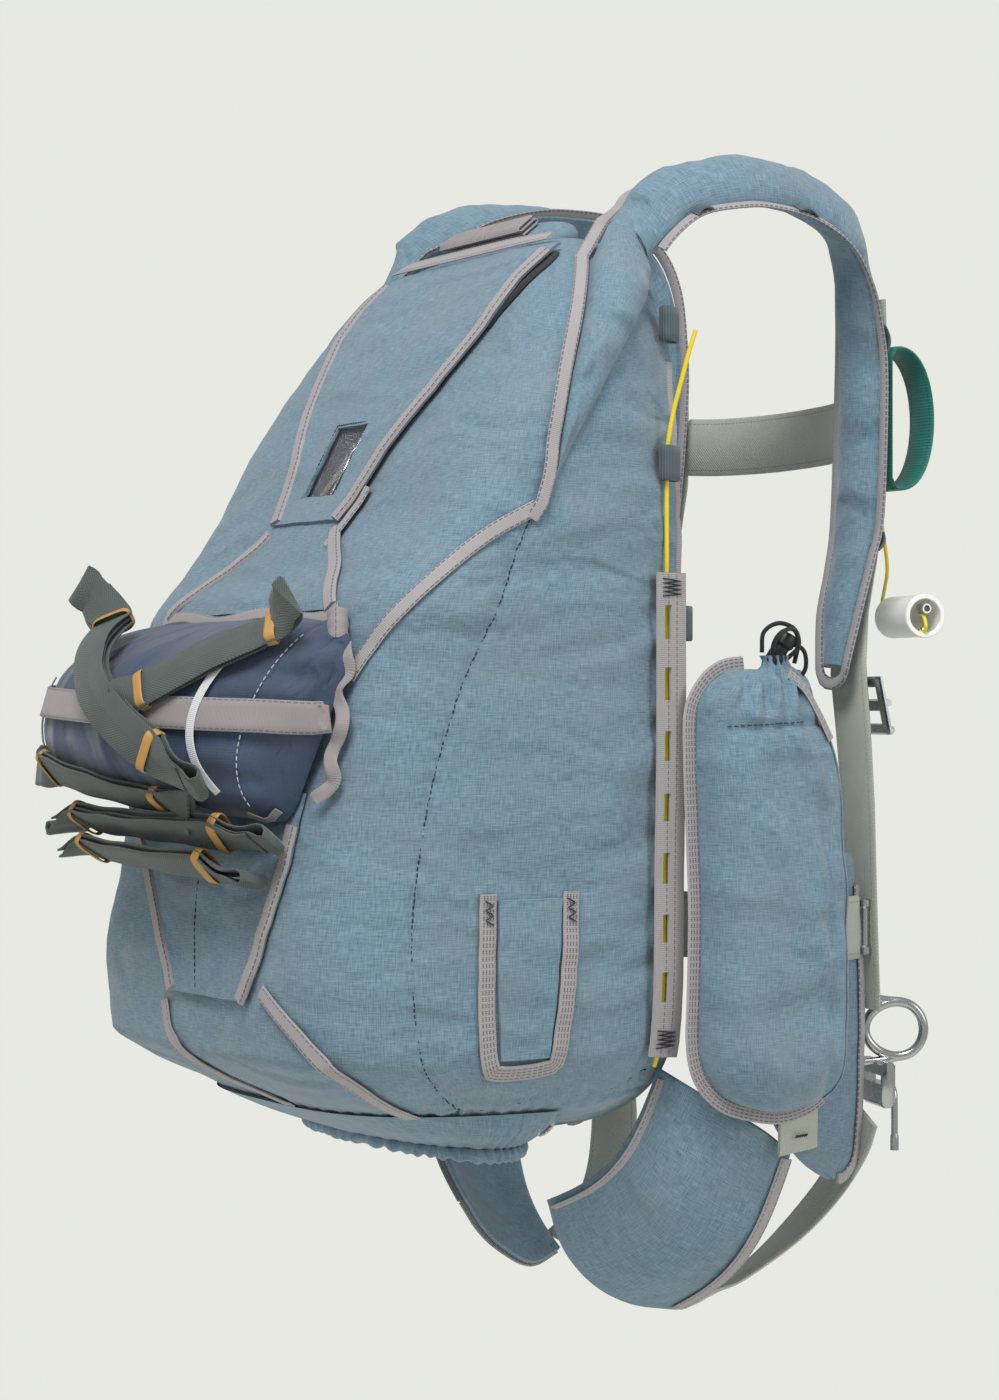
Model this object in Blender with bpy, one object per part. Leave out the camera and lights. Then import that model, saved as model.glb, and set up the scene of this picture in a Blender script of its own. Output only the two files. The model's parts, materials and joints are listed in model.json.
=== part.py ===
"""A packed parachute container with its harness, closed round the space of the body that wears it.

Frame: the origin is at the nape of the neck, at the top of the container's back pad. +X is the wearer's
right, +Y is the wearer's front and +Z is up, so that the container lies on the -Y side.
The tables and sizes below are in millimetres, and MM turns them into metres when a mesh is made.
"""
import math
from bisect import bisect_right

import bmesh
import bpy
from mathutils import Matrix, Vector

MM = 0.001
SIDES = (("R", 1), ("L", -1))

# Driving sizes
LAP = 0.9             # clearance under a piece that lies on the curved container
SEAM_GAP = 0.8        # clearance between pieces that are sewn edge to edge
CLOTH = 2.2           # lined cloth of the flaps
TAPE = 1.5            # binding tape, folded once
TAPE_WIDTH = 11
WEB = 3.0             # harness webbing
WEB_WIDTH = 43
BAG_WEB_WIDTH = 28

# The container: one section for each height
CONTAINER_COLUMNS = ("height", "half_width", "rear_depth", "front", "squareness")
CONTAINER_ROWS = (
    (-8, 112, 62, -14, 4.5),
    (-25, 140, 79, -6, 5.0),
    (-50, 166, 99, 0, 6.0),
    (-80, 180, 120, 0, 7.0),
    (-110, 186, 140, 0, 7.5),
    (-150, 189, 164, 0, 8.0),
    (-190, 191, 186, 0, 8.0),
    (-225, 192, 210, 0, 8.0),
    (-256, 192, 236, 0, 8.0),
    (-300, 192, 248, 0, 7.0),
    (-340, 192, 257, 0, 6.5),
    (-420, 190, 271, 0, 6.0),
    (-490, 189, 283, 0, 6.0),
    (-538, 184, 281, 0, 6.0),
    (-556, 175, 262, -2, 5.0),
    (-576, 154, 228, -12, 3.6),
    (-592, 120, 196, -34, 3.0),
    (-598, 92, 168, -60, 2.8),
)
PINCH = 36            # how far the sides draw in at the back pad's edge
PINCH_DEPTH = 85
BACK_PAD_CROWN = 9

# Flaps and panels on the rear: height, then the edges
TOP_FLAP_ROWS = ((-17, 110), (-56, 108), (-90, 97), (-120, 83), (-152, 65), (-186, 51), (-198, 45))
WINDOW = {"half_width": 21, "top": -132, "bottom": -180}
MID_PANEL_ROWS = ((-188, 42), (-204, 50), (-230, 84), (-258, 121))
BOTTOM_FLAP_COLUMNS = ("height", "left", "right")
BOTTOM_FLAP_ROWS = ((-372, -142, 126), (-416, -90, 120), (-448, -58, 113), (-479, -31, 103), (-503, -16, 85))

# Tapes that lie on the container: points of their middle lines (x, y, z)
V_TAPE = ((190, -138, -197), (185, -171, -215), (177, -209, -247), (161, -232, -277), (146, -240, -300))
LOWER_TAPE_R = ((106, -282, -495), (140, -273, -522), (152, -244, -550), (130, -196, -573), (103, -150, -589))

# Shoulder straps: the left one rides higher over the shoulder. Rows on the container: neck edge, arm edge, thickness
YOKE_ROWS = {
    "R": (
        ((189, -131, -190), (190, -128, -192), 3.0),
        ((186, -124, -151), (188, -109, -160), 5.0),
        ((181, -113, -113), (187, -91, -131), 9.0),
        ((172, -101, -85), (183, -75, -108), 12.0),
        ((160, -88, -58), (176, -54, -80), 15.0),
        ((143, -75, -38), (160, -30, -58), 17.0),
        ((128, -64, -24), (143, -10, -42), 19.0),
    ),
    "L": (
        ((189, -131, -190), (190, -128, -192), 3.0),
        ((186, -124, -151), (188, -109, -160), 5.0),
        ((181, -113, -113), (187, -91, -131), 11.0),
        ((172, -101, -85), (184, -75, -108), 18.0),
        ((160, -88, -58), (178, -56, -80), 26.0),
        ((143, -75, -38), (164, -36, -58), 34.0),
        ((128, -64, -24), (150, -18, -42), 40.0),
    ),
}
# Rows down the chest, alike on both sides: neck edge, arm edge, thickness, rise of the crown
CHEST_ROWS = (
    ((92, 120, 47), (165, 108, 9), 28, 19),
    ((94, 160, 31), (165, 138, -6), 25, 15),
    ((92, 178, 2), (163, 157, -30), 20, 8),
    ((89, 183, -40), (158, 170, -58), 19, 5),
    ((88, 183, -90), (156, 176, -95), 17, 4),
    ((92, 176, -185), (157, 172, -185), 16, 4),
    ((98, 166, -222), (158, 163, -218), 14, 4),
    ((104, 154, -256), (160, 152, -248), 12, 4),
    ((116, 144, -292), (159, 140, -290), 9, 3),
)
# Rows over the shoulder, then down the chest
STRAP_ROWS = {
    "R": (
        ((107, -32, 7), (152, -14, -30), 22, 12),
        ((90, -8, 18), (158, -3, -11), 26, 15),
        ((86, 6, 30), (163, 16, 5), 28, 19),
        ((90, 43, 43), (165, 45, 12), 29, 21),
        ((92, 78, 49), (165, 72, 14), 29, 21),
    ) + CHEST_ROWS,
    "L": (
        ((108, -34, 12), (165, -16, -10), 36, 26),
        ((92, -8, 26), (172, 0, 6), 36, 26),
        ((88, 14, 36), (173, 20, 16), 33, 24),
        ((90, 46, 45), (170, 48, 19), 30, 21),
        ((92, 78, 49), (166, 74, 16), 29, 20),
    ) + CHEST_ROWS,
}
NECK_INSET = TAPE_WIDTH + SEAM_GAP
ARM_INSET = 9 + SEAM_GAP
STRAP_RING = 5        # points across each face of the strap

# Harness webbing, right side: points of the middle line and the direction that its face looks in
LIFT_WEB = (
    ((122, 185.5, -36), (0.16, 0.98, 0.12)),
    ((121, 186.5, -70), (0.12, 0.99, 0)),
    ((120, 186.5, -110), (0.10, 0.99, 0)),
    ((120, 186.0, -150), (0.09, 0.99, 0)),
    ((122, 181.5, -185), (0.07, 0.99, 0)),
    ((126, 172.5, -222), (0.06, 0.99, 0)),
    ((131, 161.5, -256), (0.06, 0.99, 0)),
    ((138, 154.0, -292), (0.08, 0.99, 0)),
    ((146, 152, -335), (0.12, 0.99, 0)),
    ((150, 153, -385), (0.16, 0.98, 0)),
    ((152, 154, -440), (0.20, 0.98, 0)),
    ((153, 155, -490), (0.20, 0.98, 0)),
    ((153, 156.6, -524.6), (0.20, 0.98, 0)),
)
CHEST_STRAP = ((96.8, 188, -122), (60, 196, -124), (0, 199, -125), (-60, 196, -124), (-96.8, 188, -122))
ADAPTER = {"centre": (142, 155.4, -318), "width": 62, "height": 40, "plate": 3.5, "bar": 7, "lean": 12}

# Hip and leg pieces, right side
HIP_PAD_COLUMNS = ("height", "rear", "front")
HIP_PAD_ROWS = ((-418, 66, 142), (-470, 52, 145), (-530, 44, 146), (-575, 52, 146), (-600, 66, 146), (-616, 82, 145),
                (-629, 100, 141), (-637, 118, 130))
HIP_PAD_THICKNESS = 9
HIP_WEB = ((159.8, -6, -460), (167, 7, -461), (178, 23, -462), (182.1, 42, -463), (181.5, 62, -464), (177.0, 95, -467),
           (168.7, 128, -468), (164.4, 141, -468))
LEG_PAD_TOP = ((152, -12, -557), (167, 8, -572), (176, 34, -588), (177, 58, -602), (174, 78, -616))
LEG_PAD_BOTTOM = {
    "R": ((84, -55, -650), (82, -42, -682), (82, -18, -708), (84, 12, -724), (91, 44, -730)),
    "L": ((92, -14, -676), (90, 2, -700), (89, 22, -717), (93, 46, -728), (102, 74, -722)),
}
LEG_PAD_SAG = 24
LEG_PAD_THICKNESS = 10
LEG_WEB = {
    "R": ((91, 56.0, -725), (97, 84, -713), (111, 117, -686), (130, 141, -652), (147, 153, -618),
          (155, 155, -596.5)),
    "L": ((102, 82.2, -717), (108, 110, -700), (122, 132, -672), (138, 147, -642), (149, 154, -615),
          (155, 155, -596.5)),
}
RING = {"centre": (165, 174, -539), "half_width": 20, "half_height": 18.5, "wire": 3.4}
SNAP = {"centre": (159, 165, -575.5), "width": 44, "height": 31, "depth": 9}
LEVER = {"along": 3, "below": 3, "half_axle": 9, "length": 42, "wire": 2.5}

# Handles on the right strap
GREEN_HANDLE = {"centre": (128, 193.4, -118), "reach": 31, "half_height": 48, "web": 2.4, "width": 26}
TUBE = {"end": (166, 201, -256), "axis": (0.974, -0.225, 0), "length": 50, "radius": 13.5, "bore": 11.2}
HANDLE_CABLE = ((131, 187.2, -172), (133, 190.8, -200), (126, 200, -222), (110, 210, -238), (100, 216, -247),
                (99, 217.5, -254), (103, 216, -261), (118, 212.2, -265.2), (138, 207.5, -265.3), (156, 203.3, -265.3))

# Side pocket on the right hip: one row for each height
POCKET_COLUMNS = ("height", "rear", "front", "crown")
POCKET_ROWS = (
    (-294, 14, 78, 12),
    (-302, 2, 86, 22),
    (-320, -9, 92, 28),
    (-350, -10, 98, 33),
    (-400, -8, 101, 36),
    (-450, -6, 104, 38),
    (-500, -7, 105, 38),
    (-535, -8, 104, 37),
    (-555, -3, 101, 34),
    (-570, 10, 94, 28),
    (-579, 28, 82, 18),
    (-583, 44, 70, 8),
)
POCKET_BACK = 188
PATCH_POCKET_ROWS = ((-438, -160, -114), (-480, -160, -117), (-520, -157, -119), (-538, -155, -120))
PATCH_TAPE = ((-434, -167.5), (-490, -167.5), (-538, -163), (-546, -154), (-545.5, -121), (-537, -112.5),
              (-490, -109), (-434, -106.5))
PATCH_TAPE_WIDTH = 14

# Locking cable along the right edge of the back pad
EDGE_STRIP = {"rear": -34, "front": -16, "top": -232, "bottom": -542, "lift": 4.5}
SLOT_HEIGHTS = ((-253, -275), (-293, -314), (-334, -353), (-374, -392), (-412, -432), (-452, -470), (-489, -508))
CABLE_WIRE = 1.5
CABLE_EDGE = -25      # distance behind the back pad at which the cable lies
CABLE_TAIL = ((177.6, -25, -172), (177.8, -24.5, -150), (179, -20.5, -127), (181, -15.6, -107), (183.5, -12, -90), (186, -8, -75))
KEEPERS = ((-68, -12, 3.4), (-161, CABLE_EDGE, 1.4), (-264, -6, 0.6))
KEEPER = {"height": 20, "reach": 17, "depth": 8, "web": 1.6}

# Folded bag on the rear: across its length, thickness and the edges
BAG_COLUMNS = ("x", "top", "bottom", "thickness")
BAG_ROWS = (
    (-168, -292, -352, 16),
    (-160, -276, -366, 44),
    (-140, -268, -376, 62),
    (-100, -263, -382, 74),
    (-50, -262, -386, 80),
    (0, -262, -388, 82),
    (45, -262, -388, 76),
    (85, -262, -387, 60),
    (115, -264, -386, 42),
    (134, -268, -382, 28),
    (144, -273, -374, 17),
    (150, -282, -362, 8),
)
BAG_LIFT = 6.0
BAG_RING = 14
STRIPE_HEIGHTS = (-318, -334)
# Folded webs: the ends of each band as (x, z) on the bag, heights over it and the number of layers
WEB_FOLDS = (
    {"name": "web_fold_1", "start": (-88, -244), "end": (94, -358), "lift": 10.5, "layers": 2},
    {"name": "web_fold_2", "start": (104, -254), "end": (42, -322), "lift": 4.5, "layers": 2},
    {"name": "web_fold_3", "start": (-136, -355), "end": (76, -379), "lift": 1.6, "layers": 2},
    {"name": "web_fold_4", "start": (-108, -395), "end": (118, -400), "lift": -7.4, "layers": 3},
)

COLOURS = {
    # name: red, green, blue, roughness, metallic
    "container_cloth": (0.155, 0.275, 0.365, 0.85, 0.0),
    "binding_tape": (0.46, 0.42, 0.44, 0.8, 0.0),
    "harness_webbing": (0.50, 0.52, 0.49, 0.8, 0.0),
    "bag_webbing": (0.11, 0.14, 0.13, 0.8, 0.0),
    "bag_cloth": (0.05, 0.085, 0.155, 0.75, 0.0),
    "keeper_webbing": (0.16, 0.22, 0.24, 0.8, 0.0),
    "green_webbing": (0.01, 0.21, 0.13, 0.7, 0.0),
    "yellow_coating": (0.85, 0.68, 0.03, 0.4, 0.0),
    "white_pvc": (0.80, 0.80, 0.78, 0.35, 0.0),
    "black_plastic": (0.02, 0.02, 0.02, 0.4, 0.0),
    "forged_steel": (0.60, 0.60, 0.60, 0.25, 1.0),
    "clear_film": (0.45, 0.48, 0.50, 0.1, 0.0),
}


def clear_scene():
    """Remove every object of the open file."""
    for item in list(bpy.data.objects):
        bpy.data.objects.remove(item, do_unlink=True)


def material(name):
    """Return the material of this name, made on its first use."""
    found = bpy.data.materials.get(name)
    if found:
        return found
    red, green, blue, roughness, metallic = COLOURS[name]
    made = bpy.data.materials.new(name)
    made.use_nodes = True
    shader = made.node_tree.nodes["Principled BSDF"]
    shader.inputs["Base Color"].default_value = (red, green, blue, 1)
    shader.inputs["Roughness"].default_value = roughness
    shader.inputs["Metallic"].default_value = metallic
    return made


def add_mesh(name, points, faces, finish, origin=(0, 0, 0)):
    """Make one closed body from points in millimetres, with its object's origin at the given point."""
    anchor = Vector(origin)
    mesh = bpy.data.meshes.new(name)
    shape = bmesh.new()
    corners = [shape.verts.new((Vector(point) - anchor) * MM) for point in points]
    for face in faces:
        shape.faces.new([corners[index] for index in face])
    bmesh.ops.recalc_face_normals(shape, faces=shape.faces)
    shape.to_mesh(mesh)
    shape.free()
    mesh.shade_smooth()
    mesh.set_sharp_from_angle(angle=math.radians(40))
    mesh.materials.append(material(finish))
    body = bpy.data.objects.new(name, mesh)
    body.location = anchor * MM
    bpy.context.scene.collection.objects.link(body)
    return body


def loft(name, rings, finish, closed=False, origin=(0, 0, 0)):
    """Join rings of equal length into one body, capped at both ends or closed on itself."""
    size = len(rings[0])
    points = [point for ring in rings for point in ring]
    faces = []
    last = len(rings) if closed else len(rings) - 1
    for row in range(last):
        here = row * size
        there = (row + 1) % len(rings) * size
        for index in range(size):
            after = (index + 1) % size
            faces.append((here + index, here + after, there + after, there + index))
    if not closed:
        faces.append(tuple(range(size)))
        faces.append(tuple(range((len(rings) - 1) * size, len(rings) * size)))
    return add_mesh(name, points, faces, finish, origin)


def slab(name, inner, outer, finish, open_cells=()):
    """Join two grids of points into one sheet with walls round its edge and round each open cell."""
    rows = len(inner)
    columns = len(inner[0])
    points = [point for grid in (inner, outer) for line in grid for point in line]
    half = rows * columns
    cells = {(r, c) for r in range(rows - 1) for c in range(columns - 1)} - set(open_cells)
    faces = []
    used = set()
    for r, c in sorted(cells):
        corner = r * columns + c
        square = (corner, corner + 1, corner + 1 + columns, corner + columns)
        used.update(square)
        faces.append(square)
        faces.append(tuple(half + index for index in reversed(square)))
        borders = (
            ((r - 1, c), square[0], square[1]),
            ((r, c + 1), square[1], square[2]),
            ((r + 1, c), square[2], square[3]),
            ((r, c - 1), square[3], square[0]),
        )
        for neighbour, first, second in borders:
            if neighbour not in cells:
                faces.append((second, first, half + first, half + second))
    kept = sorted(used) + [half + index for index in sorted(used)]
    place = {index: number for number, index in enumerate(kept)}
    faces = [tuple(place[index] for index in face) for face in faces]
    return add_mesh(name, [points[index] for index in kept], faces, finish)


def table_value(rows, column, where):
    """Read one column of a table by a smooth curve that never overshoots its rows."""
    ordered = sorted(rows)
    places = [row[0] for row in ordered]
    values = [row[column] for row in ordered]
    where = min(max(where, places[0]), places[-1])
    steps = [after - before for before, after in zip(places, places[1:])]
    slopes = [(after - before) / step for before, after, step in zip(values, values[1:], steps)]
    tangents = [slopes[0]]
    for index in range(1, len(slopes)):
        before, after = slopes[index - 1], slopes[index]
        if before * after <= 0:
            tangents.append(0.0)
            continue
        near = 2 * steps[index] + steps[index - 1]
        far = steps[index] + 2 * steps[index - 1]
        tangents.append((near + far) / (near / before + far / after))
    tangents.append(slopes[-1])
    index = min(max(bisect_right(places, where) - 1, 0), len(steps) - 1)
    step = steps[index]
    t = (where - places[index]) / step
    start = (1 + 2 * t) * (1 - t) ** 2 * values[index] + t * (1 - t) ** 2 * step * tangents[index]
    end = t * t * (3 - 2 * t) * values[index + 1] + t * t * (t - 1) * step * tangents[index + 1]
    return start + end


def smooth_path(points, spacing):
    """Run a smooth curve through the points and divide it into equal steps of about this length."""
    knots = [Vector(point) for point in points]
    knots = [2 * knots[0] - knots[1]] + knots + [2 * knots[-1] - knots[-2]]
    fine = []
    for index in range(1, len(knots) - 2):
        before, start, end, after = knots[index - 1:index + 3]
        for step in range(12):
            t = step / 12
            fine.append(0.5 * (2 * start + (end - before) * t
                               + (2 * before - 5 * start + 4 * end - after) * t ** 2
                               + (3 * start - before - 3 * end + after) * t ** 3))
    fine.append(knots[-2])
    return divide(fine, spacing)


def divide(fine, spacing):
    """Divide a polyline into equal steps of about this length."""
    lengths = [0.0]
    for before, after in zip(fine, fine[1:]):
        lengths.append(lengths[-1] + (after - before).length)
    count = max(2, round(lengths[-1] / spacing))
    result = []
    for number in range(count + 1):
        goal = lengths[-1] * number / count
        index = min(max(bisect_right(lengths, goal) - 1, 0), len(fine) - 2)
        share = (goal - lengths[index]) / max(lengths[index + 1] - lengths[index], 1e-9)
        result.append(fine[index].lerp(fine[index + 1], min(share, 1.0)))
    return result


def tangents_of(points):
    """Return the direction of a path at each of its points."""
    result = []
    for index in range(len(points)):
        before = points[max(index - 1, 0)]
        after = points[min(index + 1, len(points) - 1)]
        result.append((after - before).normalized())
    return result


def mirror(point, side):
    """Return the point on the right side, or its mirror image on the left side."""
    return Vector((point[0] * side, point[1], point[2]))


def section(height):
    """Return the container's half width, rear depth, front and squareness at this height."""
    return [table_value(CONTAINER_ROWS, column, height) for column in range(1, 5)]


def pinched(y):
    """Return how far the container's side draws in at this distance behind the back pad."""
    return PINCH * max(0.0, 1 - abs(y) / PINCH_DEPTH) ** 2


def seated(point):
    """Move a point straight out from the container's middle onto its surface."""
    x, y, z = point
    half_width, depth, _, squareness = section(z)
    reach = (abs(x) + pinched(y)) / half_width
    scale = (reach ** squareness + (abs(y) / depth) ** squareness) ** (-1 / squareness)
    side_x = reach * scale * half_width
    rear_y = y * scale
    return Vector((math.copysign(side_x - pinched(rear_y), x), rear_y, z))


def rear_point(x, z):
    """Return the point of the container's rear at this side distance and height."""
    half_width, depth, _, squareness = section(z)
    return Vector((x, -depth * (1 - min(abs(x) / half_width, 1) ** squareness) ** (1 / squareness), z))


def side_point(y, z):
    """Return the point of the container's right side at this distance behind the back pad."""
    half_width, depth, _, squareness = section(z)
    x = half_width * (1 - min(abs(y) / depth, 1) ** squareness) ** (1 / squareness)
    return Vector((x - pinched(y), y, z))


def fullness(x, y, z):
    """Return a value that grows outward and is one on the container's surface."""
    half_width, depth, _, squareness = section(z)
    return ((abs(x) + pinched(y)) / half_width) ** squareness + (abs(y) / depth) ** squareness


def normal_at(point):
    """Return the direction that points straight out of the container at this point."""
    x, y, z = point
    step = 0.5
    slope = Vector((
        fullness(x + step, y, z) - fullness(x - step, y, z),
        fullness(x, y + step, z) - fullness(x, y - step, z),
        fullness(x, y, z + step) - fullness(x, y, z - step),
    ))
    return slope.normalized()


def lifted(point, height):
    """Raise a point off the container's surface."""
    return point + normal_at(point) * height


def ribbon(name, centres, faces_out, width, thickness, finish, closed=False):
    """Make a flat band along a path, from its inner face outward."""
    directions = tangents_of(centres)
    if closed:
        count = len(centres)
        directions = [(centres[(i + 1) % count] - centres[i - 1]).normalized() for i in range(count)]
    rings = []
    for centre, direction, out in zip(centres, directions, faces_out):
        across = direction.cross(out).normalized() * (width / 2)
        top = out.normalized() * thickness
        rings.append([centre - across, centre + across, centre + across + top, centre - across + top])
    return loft(name, rings, finish, closed)


def shell_tape(name, points, lift, width, finish, side=1, spacing=15, thickness=TAPE):
    """Lay a tape on the container along a line of points."""
    line = [seated(point) for point in smooth_path([seated(point) for point in points], spacing)]
    outs = [normal_at(point) for point in line]
    centres = [mirror(point + out * lift, side) for point, out in zip(line, outs)]
    return ribbon(name, centres, [mirror(out, side) for out in outs], width, thickness, finish)


def rear_sheet(name, rows, edges, columns, lift, finish, open_cells=(), column_places=None):
    """Lay a sheet on the container's rear. rows are heights, and edges gives the two sides at a height."""
    inner, outer = [], []
    for height in rows:
        left, right = edges(height)
        places = column_places(left, right) if column_places else [
            left + (right - left) * step / columns for step in range(columns + 1)]
        seats = [rear_point(x, height) for x in places]
        inner.append([lifted(seat, lift) for seat in seats])
        outer.append([lifted(seat, lift + CLOTH) for seat in seats])
    return slab(name, inner, outer, finish, open_cells)


def heights_between(top, bottom, count, extra=()):
    """Return evenly spaced heights from the top down, with the extra ones put in their place."""
    even = [top + (bottom - top) * step / count for step in range(count + 1)]
    spread = abs(bottom - top) / count
    kept = [value for value in even if all(abs(value - other) > spread * 0.4 for other in extra)]
    kept += [value for value in extra]
    return sorted(set(kept + [top, bottom]), reverse=True)


def container():
    """The filled body of the container: one section for each height."""
    around = 44
    across = 4
    heights = [row[0] for row in CONTAINER_ROWS]
    rings = []
    for height in heights:
        half_width, depth, front, squareness = section(height)
        corner = 2 ** (-1 / squareness)
        side_line = []
        for step in range(41):
            y = front + (-depth * corner - front) * step / 40
            side_line.append(side_point(y, height))
        rear_line = []
        gap = half_width * corner - side_line[-1].x
        for step in range(1, 60):
            share = 1 - step / 30
            seat = rear_point(half_width * corner * share, height)
            rear_line.append(seat - Vector((gap * share, 0, 0)))
        fine = side_line + rear_line + [mirror(point, -1) for point in reversed(side_line)]
        rear = resample(fine, around)
        left, right = rear[-1], rear[0]
        ring = list(rear)
        for step in range(1, across):
            share = step / across
            crown = BACK_PAD_CROWN * (1 - (2 * share - 1) ** 2)
            ring.append(left.lerp(right, share) + Vector((0, crown, 0)))
        rings.append(ring)
    loft("container", rings, "container_cloth")


def resample(fine, count):
    """Divide a polyline into this number of equal steps."""
    length = sum((after - before).length for before, after in zip(fine, fine[1:]))
    return divide(fine, length / count)


def collar():
    """The collar between the shoulder straps, its tape and its folded pull tab."""
    profile = ((-56, -7.5), (-36, -7.5), (-20, -6), (-16, 4), (-20, 12), (-28, 14), (-40, 11), (-52, 1))
    rings = []
    for step in range(-8, 9):
        share = step / 8
        x = 74 * share
        shrink = 1 - 0.45 * abs(share) ** 6
        dip = 3 * (1 - share * share)
        middle = Vector((x, -36, -7.5))
        rings.append([middle + Vector((0, (y + 36) * shrink, (z + 7.5) * (shrink - dip / 30))) for y, z in profile])
    loft("collar_panel", rings, "container_cloth")

    line = [rear_point(x, -13) for x in range(-98, 99, 14)]
    outs = [normal_at(point) for point in line]
    centres = [point + out * 6.2 for point, out in zip(line, outs)]
    ribbon("collar_tape", centres, outs, TAPE_WIDTH, TAPE, "binding_tape")

    layers = 3
    layer = 2.0
    pitch = 3.0
    length = 15
    tilt = Matrix.Rotation(math.radians(-50), 3, "X")
    outline = zigzag(layers, length, pitch, layer)
    rings = []
    for x in (-52, 52):
        rings.append([Vector((x, -53.6, -0.5)) + tilt @ Vector((0, -height, along)) for along, height in outline])
    loft("collar_grip", rings, "binding_tape")


def zigzag(layers, length, pitch, thickness):
    """Return the outline of cloth folded back and forth, as distances along and heights."""
    middle = []
    for number in range(layers):
        height = number * pitch + thickness / 2
        run = ((0.0, height), (length, height))
        middle.extend(run if number % 2 == 0 else reversed(run))
        if number < layers - 1:
            end = length if number % 2 == 0 else 0.0
            bulge = 1 if number % 2 == 0 else -1
            middle.append((end + bulge * pitch * 0.5, height + pitch / 2))
    path = [Vector((along, height)) for along, height in middle]
    left, right = [], []
    for index, point in enumerate(path):
        before = path[max(index - 1, 0)]
        after = path[min(index + 1, len(path) - 1)]
        direction = (after - before).normalized()
        side = Vector((-direction.y, direction.x)) * thickness / 2
        left.append(point + side)
        right.append(point - side)
    return [tuple(point) for point in left + right[::-1]]


def strap_stations(label):
    """Return a strap's rings and its tape's places along the two edges, in the right side's coordinates."""
    rings, neck_tape, arm_tape = [], [], []
    for neck, arm, thickness in dense_rows(YOKE_ROWS[label], 2):
        neck, arm = Vector(neck), Vector(arm)
        width = (arm - neck).length
        seat = seated(neck.lerp(arm, min(0.5, 0.5 * TAPE_WIDTH / width)))
        neck_tape.append((lifted(seat, LAP), normal_at(seat)))
        inset = NECK_INSET / width
        if inset > 0.75:
            continue
        outer, inner = [], []
        for step in range(STRAP_RING):
            share = step / (STRAP_RING - 1)
            seat = seated(neck.lerp(arm, inset + (1 - inset) * share))
            crown = math.sin(math.pi * min(max(share * 0.8 + 0.15, 0), 1)) ** 0.6
            outer.append(lifted(seat, LAP + 1.2 + thickness * crown))
            inner.append(lifted(seat, LAP))
        rings.append(outer + inner[::-1])
    free = dense_rows(STRAP_ROWS[label], 2)
    middles = [(Vector(row[0]) + Vector(row[1])) / 2 for row in free]
    directions = tangents_of(middles)
    for (neck, arm, thickness, rise), direction in zip(free, directions):
        neck, arm = Vector(neck), Vector(arm)
        across = (arm - neck).normalized()
        out = across.cross(direction).normalized()
        start = neck + across * NECK_INSET
        end = arm - across * ARM_INSET
        outer, inner = [], []
        for step in range(STRAP_RING):
            share = step / (STRAP_RING - 1)
            bow = 4 * share * (1 - share)
            base = start.lerp(end, share)
            outer.append(base + out * (1.5 + rise * bow))
            inner.append(base - out * (thickness - rise) * (0.25 + 0.75 * bow))
        rings.append(outer + inner[::-1])
        neck_tape.append((neck + across * (TAPE_WIDTH / 2) - out * 1.2, out))
        arm_tape.append((arm - across * 4.5 - out * 1.2, out))
    return rings, neck_tape, arm_tape


def dense_rows(rows, steps):
    """Put smooth rows between the rows of a table of points and sizes."""
    result = []
    columns = len(rows[0])
    tracks = []
    for column in range(columns):
        values = [row[column] for row in rows]
        if isinstance(values[0], tuple):
            tracks.append([Vector(value) for value in values])
        else:
            tracks.append([Vector((value, 0, 0)) for value in values])
    for index in range(len(rows) - 1):
        for step in range(steps):
            t = step / steps
            row = []
            for column, track in enumerate(tracks):
                before = track[max(index - 1, 0)]
                start, end = track[index], track[index + 1]
                after = track[min(index + 2, len(track) - 1)]
                value = 0.5 * (2 * start + (end - before) * t
                               + (2 * before - 5 * start + 4 * end - after) * t ** 2
                               + (3 * start - before - 3 * end + after) * t ** 3)
                row.append(tuple(value) if isinstance(rows[0][column], tuple) else value.x)
            result.append(tuple(row))
    result.append(tuple(rows[-1]))
    return result


def shoulder_straps():
    """The padded shoulder straps and the tapes sewn round their edges."""
    drop = Vector((0, 0, -1))
    for label, side in SIDES:
        rings, neck_tape, arm_tape = strap_stations(label)
        neck_end, out = neck_tape[-1]
        arm_end = arm_tape[-1][0]
        turn = [(neck_end.lerp(arm_end, share) + drop * depth, out)
                for share, depth in ((0.12, 8), (0.5, 12), (0.88, 8))]
        loft(f"shoulder_strap_{label}", [[mirror(p, side) for p in ring] for ring in rings], "container_cloth")
        places = neck_tape + turn + arm_tape[:1:-1]
        centres = [mirror(point, side) for point, _ in places]
        outs = [mirror(out, side) for _, out in places]
        ribbon(f"strap_tape_{label}", centres, outs, TAPE_WIDTH - 2, 2.4, "binding_tape")


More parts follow.
